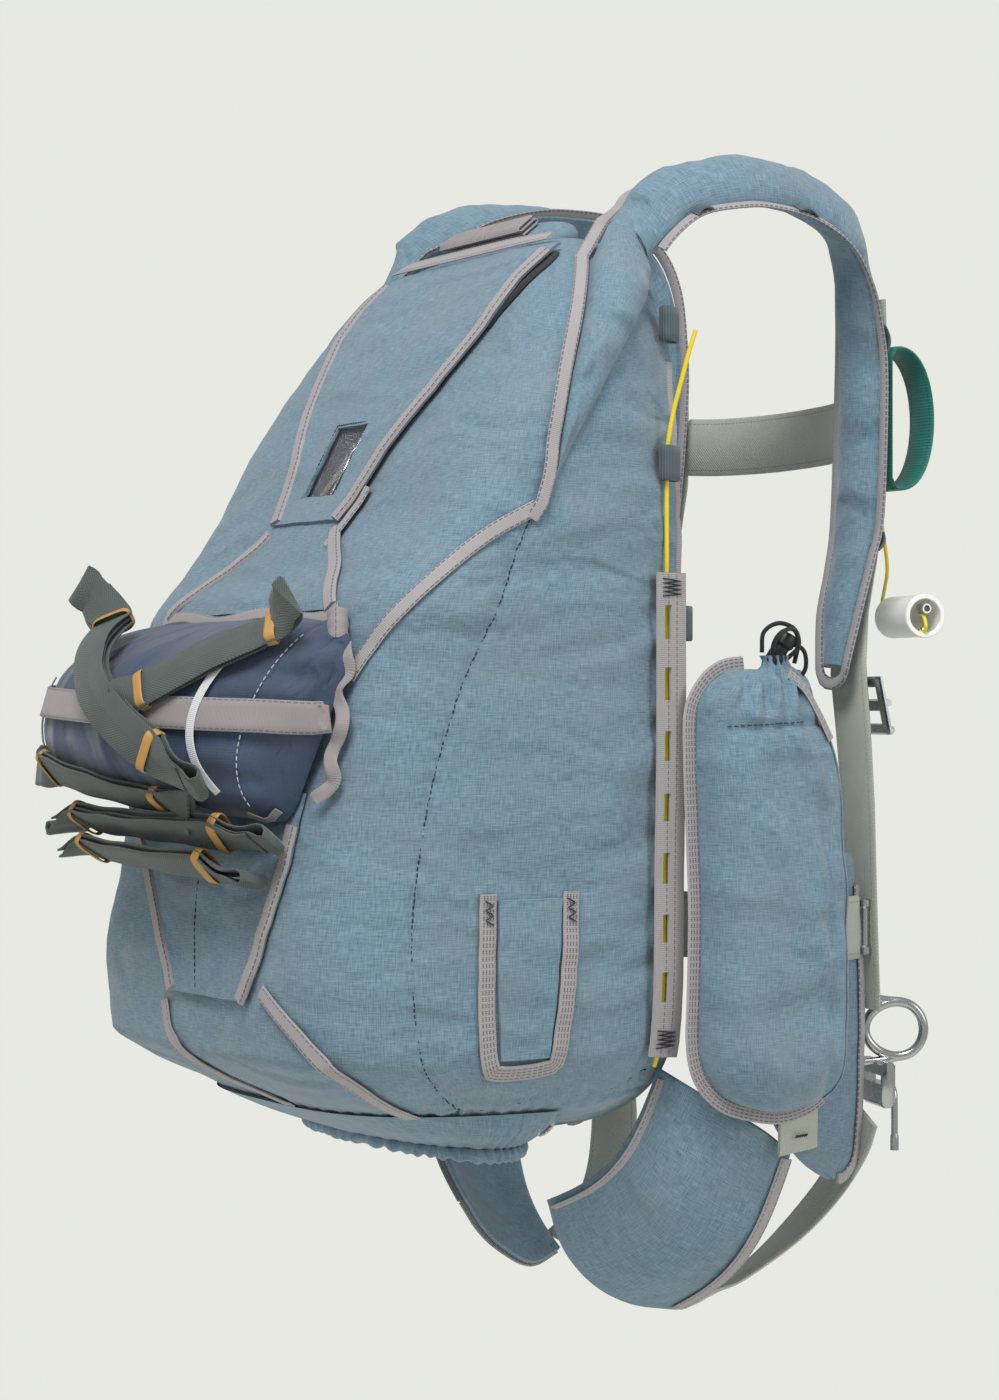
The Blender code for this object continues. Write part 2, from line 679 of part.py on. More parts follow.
def flaps():
    """The closing flaps on the container's rear, with their tapes and the window."""
    half = WINDOW["half_width"]

    def flap_edges(height):
        reach = table_value(TOP_FLAP_ROWS, 1, height)
        return -reach, reach

    def window_columns(left, right):
        outside = [left + (-half - left) * step / 3 for step in range(3)]
        inside = [-half, -half / 3, half / 3, half]
        return outside + inside + [-x for x in reversed(outside)]

    heights = heights_between(TOP_FLAP_ROWS[0][0], TOP_FLAP_ROWS[-1][0], 11, (WINDOW["top"], WINDOW["bottom"]))
    top_cell = heights.index(WINDOW["top"])
    bottom_cell = heights.index(WINDOW["bottom"])
    holes = [(row, column) for row in range(top_cell, bottom_cell) for column in (3, 4, 5)]
    flap_lift = 3.3
    rear_sheet("top_flap", heights, flap_edges, 9, flap_lift, "container_cloth", holes, window_columns)
    pane_heights = heights_between(WINDOW["top"] - 0.5, WINDOW["bottom"] + 0.5, 3)
    inner = [[lifted(rear_point(x, z), 3.9) for x in (-20.5, -7, 7, 20.5)] for z in pane_heights]
    outer = [[lifted(rear_point(x, z), 4.7) for x in (-20.5, -7, 7, 20.5)] for z in pane_heights]
    slab("window_pane", inner, outer, "clear_film")
    for label, side in SIDES:
        edge_tape(f"top_flap_tape_{label}", TOP_FLAP_ROWS, side, flap_lift + CLOTH + 0.4, -21)

    def panel_edges(height):
        reach = table_value(MID_PANEL_ROWS, 1, height)
        return -reach, reach

    rear_sheet("mid_panel", heights_between(-188, -258, 5), panel_edges, 8, LAP, "container_cloth")
    for label, side in SIDES:
        edge_tape(f"mid_tape_{label}", MID_PANEL_ROWS, side, LAP + CLOTH + 0.7, -203)
        shell_tape(f"v_tape_{label}", V_TAPE, LAP, TAPE_WIDTH, "binding_tape", side)

    def bottom_edges(height):
        return table_value(BOTTOM_FLAP_ROWS, 1, height), table_value(BOTTOM_FLAP_ROWS, 2, height)

    flap_lift = LAP + 0.9
    rear_sheet("bottom_flap", heights_between(-372, -503, 8), bottom_edges, 10, flap_lift, "container_cloth")
    right = [(row[0], row[2]) for row in BOTTOM_FLAP_ROWS]
    left = [(row[0], -row[1]) for row in BOTTOM_FLAP_ROWS]
    edge_tape("bottom_tape_R", right, 1, flap_lift + CLOTH + 0.4, -392)
    edge_tape("bottom_tape_L", left, -1, flap_lift + CLOTH + 0.4, -392)
    shell_tape("lower_tape_R", LOWER_TAPE_R, LAP + 1.1, TAPE_WIDTH, "binding_tape", spacing=10)


def edge_tape(name, rows, side, lift, start):
    """Sew a tape on a rear sheet along its edge, from the given height down to the sheet's end."""
    heights = heights_between(start, rows[-1][0] + 1, max(5, round((start - rows[-1][0]) / 15)))
    line = [rear_point(table_value(rows, 1, height) - TAPE_WIDTH / 2, height) for height in heights]
    outs = [normal_at(point) for point in line]
    centres = [mirror(point + out * lift, side) for point, out in zip(line, outs)]
    ribbon(name, centres, [mirror(out, side) for out in outs], TAPE_WIDTH, TAPE, "binding_tape")


def bottom_hem():
    """The elastic hem, gathered in a ring round the opening under the container."""
    count, sides = 40, 6
    rings = []
    for number in range(count):
        angle = 2 * math.pi * number / count
        centre = Vector((118 * math.cos(angle), -112 + 46 * math.sin(angle), -604.3 - 3 * math.cos(angle) ** 2))
        out = Vector((math.cos(angle), math.sin(angle), 0))
        size = 6.6 if number % 2 else 4.8
        rings.append([centre + (out * math.cos(2 * math.pi * s / sides)
                                + Vector((0, 0, 1)) * math.sin(2 * math.pi * s / sides)) * size for s in range(sides)])
    loft("gathered_hem", rings, "container_cloth", closed=True)


def patch_pocket():
    """The flat pocket on the right side panel, with its tape."""
    inner, outer = [], []
    for height in heights_between(-438, -538, 6):
        rear = table_value(PATCH_POCKET_ROWS, 1, height)
        front = table_value(PATCH_POCKET_ROWS, 2, height)
        depth = (height + 438) / -100
        seats = [side_point(rear + (front - rear) * step / 4, height) for step in range(5)]
        puff = [CLOTH + 2.5 * math.sin(math.pi * step / 4) * (1 - 0.6 * depth) for step in range(5)]
        inner.append([lifted(seat, LAP) for seat in seats])
        outer.append([lifted(seat, LAP + rise) for seat, rise in zip(seats, puff)])
    slab("patch_pocket", inner, outer, "container_cloth")
    line = [side_point(y, z) for z, y in PATCH_TAPE]
    shell_tape("patch_pocket_tape", line, LAP, PATCH_TAPE_WIDTH - 2, "binding_tape", spacing=8, thickness=2.2)


def locking_cable():
    """The slotted edge strip, the keeper loops and the yellow cable that runs through them."""
    strip = EDGE_STRIP
    heights = [strip["top"]]
    holes = []
    for top, bottom in SLOT_HEIGHTS:
        holes.append((len(heights), 1))
        heights.extend((top, bottom))
    heights.extend((-526, -534, strip["bottom"]))
    edges = (strip["rear"], CABLE_EDGE - 2.2, CABLE_EDGE + 2.2, strip["front"])
    inner = [[lifted(side_point(y, z), strip["lift"]) for y in edges] for z in heights]
    outer = [[lifted(side_point(y, z), strip["lift"] + TAPE) for y in edges] for z in heights]
    slab("side_strip_R", inner, outer, "binding_tape", holes)

    seats = [side_point(CABLE_EDGE, z) for z in range(-551, -220, 12)]
    route = [lifted(seat, CABLE_WIRE + 0.7) for seat in seats] + [Vector(point) for point in CABLE_TAIL]
    tube("locking_cable", smooth_path(route, 13), CABLE_WIRE, "yellow_coating", 2)

    for number, (height, edge, lift) in enumerate(KEEPERS, 1):
        seat = side_point(edge, height)
        out = normal_at(seat)
        out.z = 0
        out.normalize()
        forward = Vector((0, 0, 1)).cross(out)
        forward = forward if forward.y > 0 else -forward
        reach, depth, web = KEEPER["reach"], KEEPER["depth"], KEEPER["web"]
        middle = seat + out * (lift + depth / 2)
        half = KEEPER["height"] / 2
        outside = flat_loop(reach, depth, 14)
        inside = flat_loop(reach - 2 * web, depth - 2 * web, 14)
        rings = []
        for loop, level in ((outside, -half), (outside, half), (inside, half), (inside, -half)):
            rings.append([middle + forward * u + out * v + Vector((0, 0, level)) for u, v in loop])
        loft(f"keeper_loop_{number}", rings, "keeper_webbing", closed=True)


def flat_loop(length, depth, count):
    """Return points round a long loop with round ends."""
    radius = depth / 2
    straight = max(length / 2 - radius, 0)
    points = []
    for step in range(count):
        angle = 2 * math.pi * (step + 0.5) / count
        shift = straight if math.cos(angle) > 0 else -straight
        points.append((shift + radius * math.cos(angle), radius * math.sin(angle)))
    return points


def tube(name, points, radius, finish, resolution):
    """Make a round tube along points in millimetres, with filled ends."""
    curve = bpy.data.curves.new(name, "CURVE")
    curve.dimensions = "3D"
    curve.bevel_depth = radius * MM
    curve.bevel_resolution = resolution
    curve.use_fill_caps = True
    spline = curve.splines.new("POLY")
    spline.points.add(len(points) - 1)
    for knot, point in zip(spline.points, points):
        knot.co = (*(Vector(point) * MM), 1)
    curve.materials.append(material(finish))
    body = bpy.data.objects.new(name, curve)
    bpy.context.scene.collection.objects.link(body)
    return body


def side_pocket():
    """The filled pocket on the right hip, with its tape and cord lock."""
    columns = 8
    inner, outer = [], []
    for height in [row[0] for row in POCKET_ROWS]:
        rear, front, crown = (table_value(POCKET_ROWS, column, height) for column in (1, 2, 3))
        back_line, face_line = [], []
        for step in range(columns + 1):
            share = step / columns
            y = rear + (front - rear) * share
            rise = crown * (1 - abs(2 * share - 1) ** 3.2) ** 0.55
            lean = 0.0010 * max(y - 40, 0) ** 2
            back_line.append(Vector((POCKET_BACK - lean - 2, y, height)))
            face_line.append(Vector((POCKET_BACK - lean + 2 + rise, y, height)))
        inner.append(back_line)
        outer.append(face_line)
    slab("side_pocket", inner, outer, "container_cloth")
    line = []
    for row in POCKET_ROWS[1:-1]:
        line.append(Vector((POCKET_BACK - 1, row[1] - 7, row[0] - (3 if row[0] < -550 else 0))))
    line.append(Vector((POCKET_BACK - 1, 57, -591)))
    for row in POCKET_ROWS[-2:-5:-1]:
        line.append(Vector((POCKET_BACK - 1 - 0.0010 * (row[2] - 33) ** 2, row[2] + 7, row[0] - 4)))
    centres = smooth_path(line, 14)
    ribbon("side_pocket_tape", centres, [Vector((1, 0, 0))] * len(centres), 10, 2.6, "binding_tape")
    profile = ((0.1, 0), (5.5, 0), (6.5, 2), (6.5, 9), (5.2, 10.5), (5.2, 13), (6.5, 14.5), (6.5, 21), (5, 23), (0.1, 23))
    turned("cord_lock", profile, 14, "black_plastic", Vector((196, 46, -290.7)), Vector((0.25, 0.45, 0.86)))


def turned(name, profile, sides, finish, place, axis, closed=False):
    """Turn a profile of radii and heights about an axis through the place."""
    turn = axis.normalized().to_track_quat("Z", "Y").to_matrix()
    rings = []
    for radius, height in profile:
        ring = []
        for number in range(sides):
            angle = 2 * math.pi * number / sides
            ring.append(place + turn @ Vector((radius * math.cos(angle), radius * math.sin(angle), height)))
        rings.append(ring)
    return loft(name, rings, finish, closed)


def harness():
    """The load webbing, the chest strap and the friction adapters."""
    knots = [Vector(point) for point, _ in LIFT_WEB]
    outs = [Vector(out) for _, out in LIFT_WEB]
    centres, faces_out = [], []
    for index in range(len(knots) - 1):
        parts = 2
        for step in range(parts):
            centres.append(knots[index].lerp(knots[index + 1], step / parts))
            faces_out.append(outs[index].lerp(outs[index + 1], step / parts).normalized())
    centres.append(knots[-1])
    faces_out.append(outs[-1])
    for label, side in SIDES:
        ribbon(f"lift_web_{label}", [mirror(p, side) for p in centres], [mirror(o, side) for o in faces_out],
               WEB_WIDTH, WEB, "harness_webbing")
        adapter(label, side)
    line = smooth_path(CHEST_STRAP, 24)
    outs = [Vector((0.0022 * point.x, 1, 0)).normalized() for point in line]
    ribbon("chest_strap", line, outs, WEB_WIDTH, WEB, "harness_webbing")


def adapter(label, side):
    """A flat steel adapter with two slots, which stands in front of the load webbing."""
    size = ADAPTER
    xs = [size["width"] * k for k in (-0.5, -0.38, 0.38, 0.5)]
    bar = size["bar"]
    half = size["height"] / 2
    zs = (half, half - bar, bar / 2, -bar / 2, -half + bar, -half)
    turn = Matrix.Rotation(math.radians(-8), 3, "Z") @ Matrix.Rotation(math.radians(size["lean"]), 3, "X")
    centre = Vector(size["centre"]) + Vector((1.8, 6.6, 0))
    inner, outer = [], []
    for z in zs:
        inner.append([mirror(centre + turn @ Vector((x, 0, z)), side) for x in xs])
        outer.append([mirror(centre + turn @ Vector((x, size["plate"], z)), side) for x in xs])
    slab(f"adapter_{label}", inner, outer, "forged_steel", [(1, 1), (3, 1)])


def hip_and_leg():
    """The hip pads, hip webs, leg pads and leg webs of both sides."""
    for label, side in SIDES:
        inner, outer = [], []
        for height, rear, front in HIP_PAD_ROWS:
            line_in, line_out = [], []
            for step in range(7):
                share = step / 6
                y = rear + (front - rear) * share
                x = 183 - 0.00178 * (y - 40) ** 2 - 0.00045 * (height + 520) ** 2
                out = Vector((1, 0.0035 * (y - 40), 0)).normalized()
                bulge = HIP_PAD_THICKNESS * (0.35 + 0.65 * math.sin(math.pi * share) ** 0.5)
                line_in.append(mirror(Vector((x, y, height)) - out * bulge, side))
                line_out.append(mirror(Vector((x, y, height)), side))
            inner.append(line_in)
            outer.append(line_out)
        slab(f"hip_pad_{label}", inner, outer, "container_cloth")
        line = smooth_path(HIP_WEB, 16)
        outs = []
        for direction in tangents_of(line):
            outs.append(Vector((direction.y, -direction.x, 0)).normalized())
        centres = [mirror(point, side) for point in line]
        ribbon(f"hip_web_{label}", centres, [mirror(out, side) for out in outs], WEB_WIDTH, WEB, "harness_webbing")
        leg_pad(label, side)
        line = smooth_path(LEG_WEB[label], 16)
        outs = [Vector((0.45, 0.75, -0.5)).lerp(Vector((0.3, 0.95, 0)), step / (len(line) - 1)).normalized()
                for step in range(len(line))]
        centres = [mirror(point, side) for point in line]
        ribbon(f"leg_web_{label}", centres, [mirror(out, side) for out in outs], WEB_WIDTH, WEB, "harness_webbing")


def leg_pad(label, side):
    """A padded panel that curves under the thigh."""
    columns, rows = 6, 7
    top = resample(smooth_path(LEG_PAD_TOP, 10), columns)
    bottom = resample(smooth_path(LEG_PAD_BOTTOM[label], 10), columns)
    out_way = Vector((0.72, 0.0, -0.69)).normalized()
    inner, outer = [], []
    for row in range(rows + 1):
        v = row / rows
        line_in, line_out = [], []
        for column in range(columns + 1):
            u = column / columns
            sag = LEG_PAD_SAG * math.sin(math.pi * v) * (0.8 + 0.2 * math.sin(math.pi * u))
            base = top[column].lerp(bottom[column], v) + out_way * sag
            edge = max(math.sin(math.pi * u) * math.sin(math.pi * v), 0)
            thick = LEG_PAD_THICKNESS * (0.35 + 0.65 * edge ** 0.4)
            line_out.append(mirror(base, side))
            line_in.append(mirror(base - out_way * thick, side))
        inner.append(line_in)
        outer.append(line_out)
    slab(f"leg_pad_{label}", inner, outer, "container_cloth")


def hardware():
    """The V rings, the snaps and their release levers."""
    for label, side in SIDES:
        centre = Vector(RING["centre"])
        right_way = Vector((0.53, 0.848, 0))
        rings = []
        for number in range(22):
            angle = 2 * math.pi * number / 22
            spread = 1 + 0.10 * math.cos(angle)
            point = (centre + right_way * (RING["half_width"] * math.cos(angle))
                     + Vector((0, 0, 1)) * (RING["half_height"] * spread * math.sin(angle)))
            way = (point - centre).normalized()
            face = right_way.cross(Vector((0, 0, 1)))
            ring = []
            for step in range(6):
                turn = 2 * math.pi * step / 6
                ring.append(mirror(point + (way * math.cos(turn) + face * math.sin(turn)) * RING["wire"], side))
            rings.append(ring)
        loft(f"v_ring_{label}", rings, "forged_steel", closed=True)
        snap(label, side)


def snap(label, side):
    """A quick snap: a forged frame with a slot for the web, and a lever hinged under it."""
    centre = Vector(SNAP["centre"])
    turn = Matrix.Rotation(math.radians(-18), 3, "Z")
    half_w, half_h = SNAP["width"] / 2, SNAP["height"] / 2
    xs = (-half_w, -half_w + 6, half_w - 6, half_w)
    zs = (half_h, half_h - 9, half_h - 15, -half_h)
    inner = [[mirror(centre + turn @ Vector((x, -SNAP["depth"] / 2, z)), side) for x in xs] for z in zs]
    outer = [[mirror(centre + turn @ Vector((x, SNAP["depth"] / 2, z)), side) for x in xs] for z in zs]
    slab(f"snap_body_{label}", inner, outer, "forged_steel", [(1, 1)])
    wire = LEVER["wire"]
    hinge = centre + turn @ Vector((LEVER["along"], SNAP["depth"] / 2 + wire + 0.4, -LEVER["below"]))
    axle = turn @ Vector((1, 0, 0)) * LEVER["half_axle"]
    down = Vector((0, 0, -LEVER["length"]))
    path = divide([hinge - axle, hinge], 6)
    path += smooth_path([hinge + axle * 0.45, hinge + axle * 0.8 + down * 0.08, hinge + axle * 0.9 + down * 0.3,
                         hinge + axle * 0.9 + down], 6)
    rings = []
    first = turn @ Vector((0, 1, 0))
    for point, direction in zip(path, tangents_of(path)):
        second = direction.cross(first).normalized()
        rings.append([mirror(point + (first * math.cos(math.pi * s / 4) + second * math.sin(math.pi * s / 4)) * wire,
                             side) for s in range(8)])
    loft(f"snap_lever_{label}", rings, "forged_steel", origin=mirror(hinge, side))


def handles():
    """The green webbing handle, the white tube handle and its cable."""
    size = GREEN_HANDLE
    centre = Vector(size["centre"])
    width_way = Vector((1, 0, 0))
    path = []
    flat = 9
    for step in range(flat):
        path.append(Vector((0, 0, size["half_height"] * (1 - 2 * step / (flat - 1)) * 0.86)))
    for step in range(15):
        angle = -math.pi / 2 + math.pi * step / 14
        path.append(Vector((0, 4 + size["reach"] * math.cos(angle) ** 0.8 if abs(math.cos(angle)) > 1e-6 else 4,
                            size["half_height"] * math.sin(angle))))
    centres = [centre + point for point in path]
    middle = centre + Vector((0, size["reach"] * 0.45, 0))
    outs = []
    count = len(centres)
    for index in range(count):
        direction = (centres[(index + 1) % count] - centres[index - 1]).normalized()
        out = direction.cross(width_way)
        outs.append(out if out.dot(centres[index] - middle) > 0 else -out)
    ribbon("green_handle", centres, outs, size["width"], size["web"], "green_webbing", closed=True)
    axis = Vector(TUBE["axis"]).normalized()
    profile = ((TUBE["bore"], 0), (TUBE["radius"], 0), (TUBE["radius"], TUBE["length"]), (TUBE["bore"], TUBE["length"]))
    start = Vector(TUBE["end"]) - axis * TUBE["length"]
    turned("tube_handle", profile, 24, "white_pvc", start, axis, closed=True)
    tube("handle_cable", smooth_path(HANDLE_CABLE, 8), 1.3, "yellow_coating", 2)


def bag_point(x, z, lift):
    """Return a point over the bag's rear face at this place."""
    top, bottom, thickness = (table_value(BAG_ROWS, column, x) for column in (1, 2, 3))
    share = min(max((top - z) / (top - bottom), 0), 1)
    rise = thickness * max(1 - abs(2 * share - 1) ** 2.4, 0) ** 0.6
    seat = rear_point(x, z)
    return seat + Vector((0, -(BAG_LIFT + rise + lift), 0))


def bag():
    """The small folded bag strapped to the rear, with its stripe."""
    rings = []
    for x in [row[0] for row in BAG_ROWS]:
        top, bottom = (table_value(BAG_ROWS, column, x) for column in (1, 2))
        outer, inner = [], []
        for step in range(BAG_RING + 1):
            share = 0.5 - 0.5 * math.cos(math.pi * step / BAG_RING)
            z = top + (bottom - top) * share
            outer.append(bag_point(x, z, 1.0))
            if step % 2 == 0:
                inner.append(rear_point(x, z) + Vector((0, -BAG_LIFT, 0)))
        rings.append(outer + inner[::-1])
    loft("bag", rings, "bag_cloth")
    inner, outer = [], []
    columns = 22
    for z in (STRIPE_HEIGHTS[0], sum(STRIPE_HEIGHTS) / 2, STRIPE_HEIGHTS[1]):
        xs = [-162 + (145 + 162) * step / columns for step in range(columns + 1)]
        inner.append([bag_point(x, z, 1.0) + bag_normal(x, z) * 1.6 for x in xs])
        outer.append([bag_point(x, z, 1.0) + bag_normal(x, z) * 2.8 for x in xs])
    slab("bag_stripe", inner, outer, "binding_tape")


def bag_normal(x, z):
    """Return the direction that points straight out of the bag's rear face at this place."""
    step = 1.0
    along = bag_point(x + step, z, 0) - bag_point(x - step, z, 0)
    down = bag_point(x, z - step, 0) - bag_point(x, z + step, 0)
    out = along.cross(down).normalized()
    return out if out.y < 0 else -out


def web_folds():
    """The webbing folded back and forth over the bag."""
    for fold in WEB_FOLDS:
        start, end = Vector((*fold["start"], 0)), Vector((*fold["end"], 0))
        steps = max(8, round((end - start).length / 16))
        places = [start.lerp(end, step / steps) for step in range(steps + 1)]
        seats = [fold_seat(place.x, place.y) for place in places]
        directions = tangents_of([seat for seat, _ in seats])
        across = [direction.cross(out).normalized() for (_, out), direction in zip(seats, directions)]
        middle, sideways = [], []
        for layer in range(fold["layers"]):
            order = list(range(steps + 1)) if layer % 2 == 0 else list(range(steps, -1, -1))
            for step in order:
                seat, out = seats[step]
                middle.append(seat + out * (fold["lift"] + layer * 3.4))
                sideways.append(across[step])
            if layer < fold["layers"] - 1:
                last = middle[-1]
                way = (last - middle[-2]).normalized()
                middle.append(last + way * 2.6 + seats[order[-1]][1] * 1.7)
                sideways.append(sideways[-1])
        rings = []
        for point, direction, side in zip(middle, tangents_of(middle), sideways):
            out = direction.cross(side).normalized() * 0.9
            wide = side * (BAG_WEB_WIDTH / 2)
            rings.append([point - wide - out, point + wide - out, point + wide + out, point - wide + out])
        loft(fold["name"], rings, "bag_webbing")


def fold_seat(x, z):
    """Return a seat on the bag and its outward direction, or one carried straight on past its edge."""
    top = table_value(BAG_ROWS, 1, x)
    bottom = table_value(BAG_ROWS, 2, x)
    margin = 14
    inside = min(max(z, bottom + margin), top - margin)
    out = bag_normal(x, inside)
    return bag_point(x, inside, 1.0) + Vector((0, 0, z - inside)), out


def build():
    """Build every piece."""
    clear_scene()
    container()
    collar()
    shoulder_straps()
    flaps()
    bottom_hem()
    patch_pocket()
    locking_cable()
    side_pocket()
    harness()
    hip_and_leg()
    hardware()
    handles()
    bag()
    web_folds()


build()
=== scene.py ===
"""The looks of a packed parachute container with its harness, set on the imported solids.

Frame: the origin is at the nape of the neck, +X is the wearer's right, +Y is the wearer's front and +Z is up.
Sizes and tables are in millimetres, and MM turns them into metres when a mesh is made.
"""
import json
import logging
import math
from bisect import bisect_right
from dataclasses import dataclass, field
from enum import Enum
from typing import Callable, Iterable, Optional, Sequence

import bmesh
import bpy
from mathutils import Matrix, Vector, kdtree, noise


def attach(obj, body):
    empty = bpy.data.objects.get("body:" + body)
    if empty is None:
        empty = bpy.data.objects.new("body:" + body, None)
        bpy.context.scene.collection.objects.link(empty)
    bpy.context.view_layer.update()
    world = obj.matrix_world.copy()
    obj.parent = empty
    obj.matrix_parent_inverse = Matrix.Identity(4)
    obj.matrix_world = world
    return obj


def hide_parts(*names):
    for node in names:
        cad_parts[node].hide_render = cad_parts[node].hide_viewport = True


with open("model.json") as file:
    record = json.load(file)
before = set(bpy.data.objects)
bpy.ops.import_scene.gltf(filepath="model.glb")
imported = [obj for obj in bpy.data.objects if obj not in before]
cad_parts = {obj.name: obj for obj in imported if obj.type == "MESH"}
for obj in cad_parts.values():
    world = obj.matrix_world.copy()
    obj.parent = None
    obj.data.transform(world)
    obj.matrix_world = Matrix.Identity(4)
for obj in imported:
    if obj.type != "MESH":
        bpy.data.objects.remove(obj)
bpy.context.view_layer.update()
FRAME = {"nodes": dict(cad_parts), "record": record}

LOG = logging.getLogger("parachute")
MM = 0.001
CLOTH = 2.2           # lined cloth of the flaps
TAPE = 1.5            # binding tape, folded once
TAPE_WIDTH = 11.0
WEB = 3.0             # harness webbing
WEB_WIDTH = 43.0
LAP = 0.9             # clearance under a piece on the container
Pair = tuple[float, float]
Triple = tuple[float, float, float]


class Side(Enum):
    """The wearer's right and left."""
    RIGHT = ("R", 1)
    LEFT = ("L", -1)

    @property
    def label(self) -> str:
        """The letter that ends a piece's name."""
        return self.value[0]

    @property
    def sign(self) -> int:
        """One on the right and minus one on the left."""
        return self.value[1]


class Slot(Enum):
    """The record's material slots."""
    CLOTH = "container_cloth"
    TAPE = "binding_tape"
    HARNESS = "harness_webbing"
    BAG_WEB = "bag_webbing"
    BAG = "bag_cloth"
    KEEPER = "keeper_webbing"
    GREEN = "green_webbing"
    CABLE = "yellow_coating"
    TUBE = "white_pvc"
    PLASTIC = "black_plastic"
    STEEL = "forged_steel"
    FILM = "clear_film"


def srgb(code: str) -> tuple[float, float, float, float]:
    """Turn an sRGB hex value to linear colour.

    Args:
        code: Six hex digits after a hash sign.

    Returns:
        Linear red, green and blue, with an alpha of one.
    """
    parts = [int(code[i:i + 2], 16) / 255 for i in (1, 3, 5)]
    linear = [c / 12.92 if c <= 0.04045 else ((c + 0.055) / 1.055) ** 2.4 for c in parts]
    return (linear[0], linear[1], linear[2], 1.0)


def add_node(tree: bpy.types.NodeTree, kind: str, inputs: Optional[dict] = None,
             **settings: object) -> bpy.types.Node:
    """Add a node with its settings and links.

    Args:
        tree: The node tree.
        kind: The node's type name, without the word that all of them start with.
        inputs: For each input, by name or number, a node or a socket to link, or a value to set.
        **settings: The node's own properties.

    Returns:
        The new node.
    """
    node = tree.nodes.new(f"ShaderNode{kind}")
    for key, value in settings.items():
        setattr(node, key, value)
    for key, value in (inputs or {}).items():
        source = value.outputs[0] if isinstance(value, bpy.types.Node) else value
        if isinstance(source, bpy.types.NodeSocket):
            tree.links.new(source, node.inputs[key])
        else:
            node.inputs[key].default_value = source
    return node


@dataclass(frozen=True)
class Finish:
    """A finish: what the real material is, and the slot of the record that it belongs to."""
    name: str
    slot: Optional[Slot]
    rough: float = 0.5

    def material(self) -> bpy.types.Material:
        """Return this finish's material, made on its first use.

        Returns:
            The material.
        """
        found = bpy.data.materials.get(self.name)
        if found:
            return found
        made = bpy.data.materials.new(self.name)
        made.use_nodes = True
        tree = made.node_tree
        shader = tree.nodes["Principled BSDF"]
        shader.inputs["Roughness"].default_value = self.rough
        self.dress(tree, shader)
        return made

    def dress(self, tree: bpy.types.NodeTree, shader: bpy.types.Node) -> None:
        """Add the finish's own nodes."""


@dataclass(frozen=True)
class WovenCloth(Finish):
    """Plain-woven nylon with slubs: faint crossing streaks of two tones, and a soft matt face."""
    light: str = "#7F9DAD"
    dark: str = "#526E80"
    warm: str = "#7F8688"
    thread_mm: float = 1.9        # real threads are 0.4 mm apart; drawn coarser so that they show
    streak_mm: float = 0.8
    slub: float = 0.8
    sheen: float = 0.25

    def dress(self, tree: bpy.types.NodeTree, shader: bpy.types.Node) -> None:
        """Mix the two tones along warp and weft, and raise the weave.

        Args:
            tree: The material's node tree.
            shader: Its surface node.
        """
        uv = add_node(tree, "TexCoord").outputs["UV"]
        along = 1 / (self.streak_mm * MM)
        weft = add_node(tree, "Mapping", {"Vector": uv, "Scale": (along * 0.09, along, 1)})
        warp = add_node(tree, "Mapping", {"Vector": uv, "Scale": (along, along * 0.08, 1)})
        weft_slub = add_node(tree, "TexNoise", {"Vector": weft, "Scale": 1.0, "Detail": 2.0})
        warp_slub = add_node(tree, "TexNoise", {"Vector": warp, "Scale": 1.0, "Detail": 2.0})
        slubs = add_node(tree, "Math", {0: weft_slub, 1: warp_slub}, operation="ADD")
        spread = add_node(tree, "MapRange", {"Value": slubs, "From Min": 1.0 - 0.42 * self.slub,
                                             "From Max": 1.0 + 0.42 * self.slub})
        tones = add_node(tree, "Mix", {"Factor": spread, 6: srgb(self.dark), 7: srgb(self.light)},
                         data_type="RGBA")
        patch = add_node(tree, "TexNoise", {"Vector": uv, "Scale": 14.0, "Detail": 3.0})
        some = add_node(tree, "MapRange", {"Value": patch, "From Min": 0.45, "From Max": 0.75,
                                           "To Max": 0.38})
        blend = add_node(tree, "Mix", {"Factor": some, 6: tones.outputs[2], 7: srgb(self.warm)},
                         data_type="RGBA")
        tree.links.new(blend.outputs[2], shader.inputs["Base Color"])
        period = 0.314 / (self.thread_mm * MM)
        first = add_node(tree, "TexWave", {"Vector": uv, "Scale": period}, bands_direction="X")
        second = add_node(tree, "TexWave", {"Vector": uv, "Scale": period}, bands_direction="Y")
        weave = add_node(tree, "Math", {0: first.outputs["Fac"], 1: second.outputs["Fac"]},
                         operation="MULTIPLY")
        crush = add_node(tree, "TexNoise", {"Vector": uv, "Scale": 45.0, "Detail": 3.0})
        tucks = add_node(tree, "Mapping", {"Vector": uv, "Scale": (1.0, 0.45, 1.0), "Rotation": (0, 0, 0.5)})
        soft = add_node(tree, "TexNoise", {"Vector": tucks, "Scale": 24.0, "Detail": 1.5,
                                           "Distortion": 0.6})
        folds = add_node(tree, "Bump", {"Height": soft, "Strength": 0.9, "Distance": 0.011})
        low = add_node(tree, "Bump", {"Height": crush, "Strength": 0.4, "Distance": 0.0022,
                                      "Normal": folds})
        high = add_node(tree, "Bump", {"Height": weave, "Strength": 0.35, "Distance": 0.0003,
                                       "Normal": low})
        tree.links.new(high.outputs[0], shader.inputs["Normal"])
        shader.inputs["Sheen Weight"].default_value = self.sheen
        shader.inputs["Sheen Roughness"].default_value = 0.5


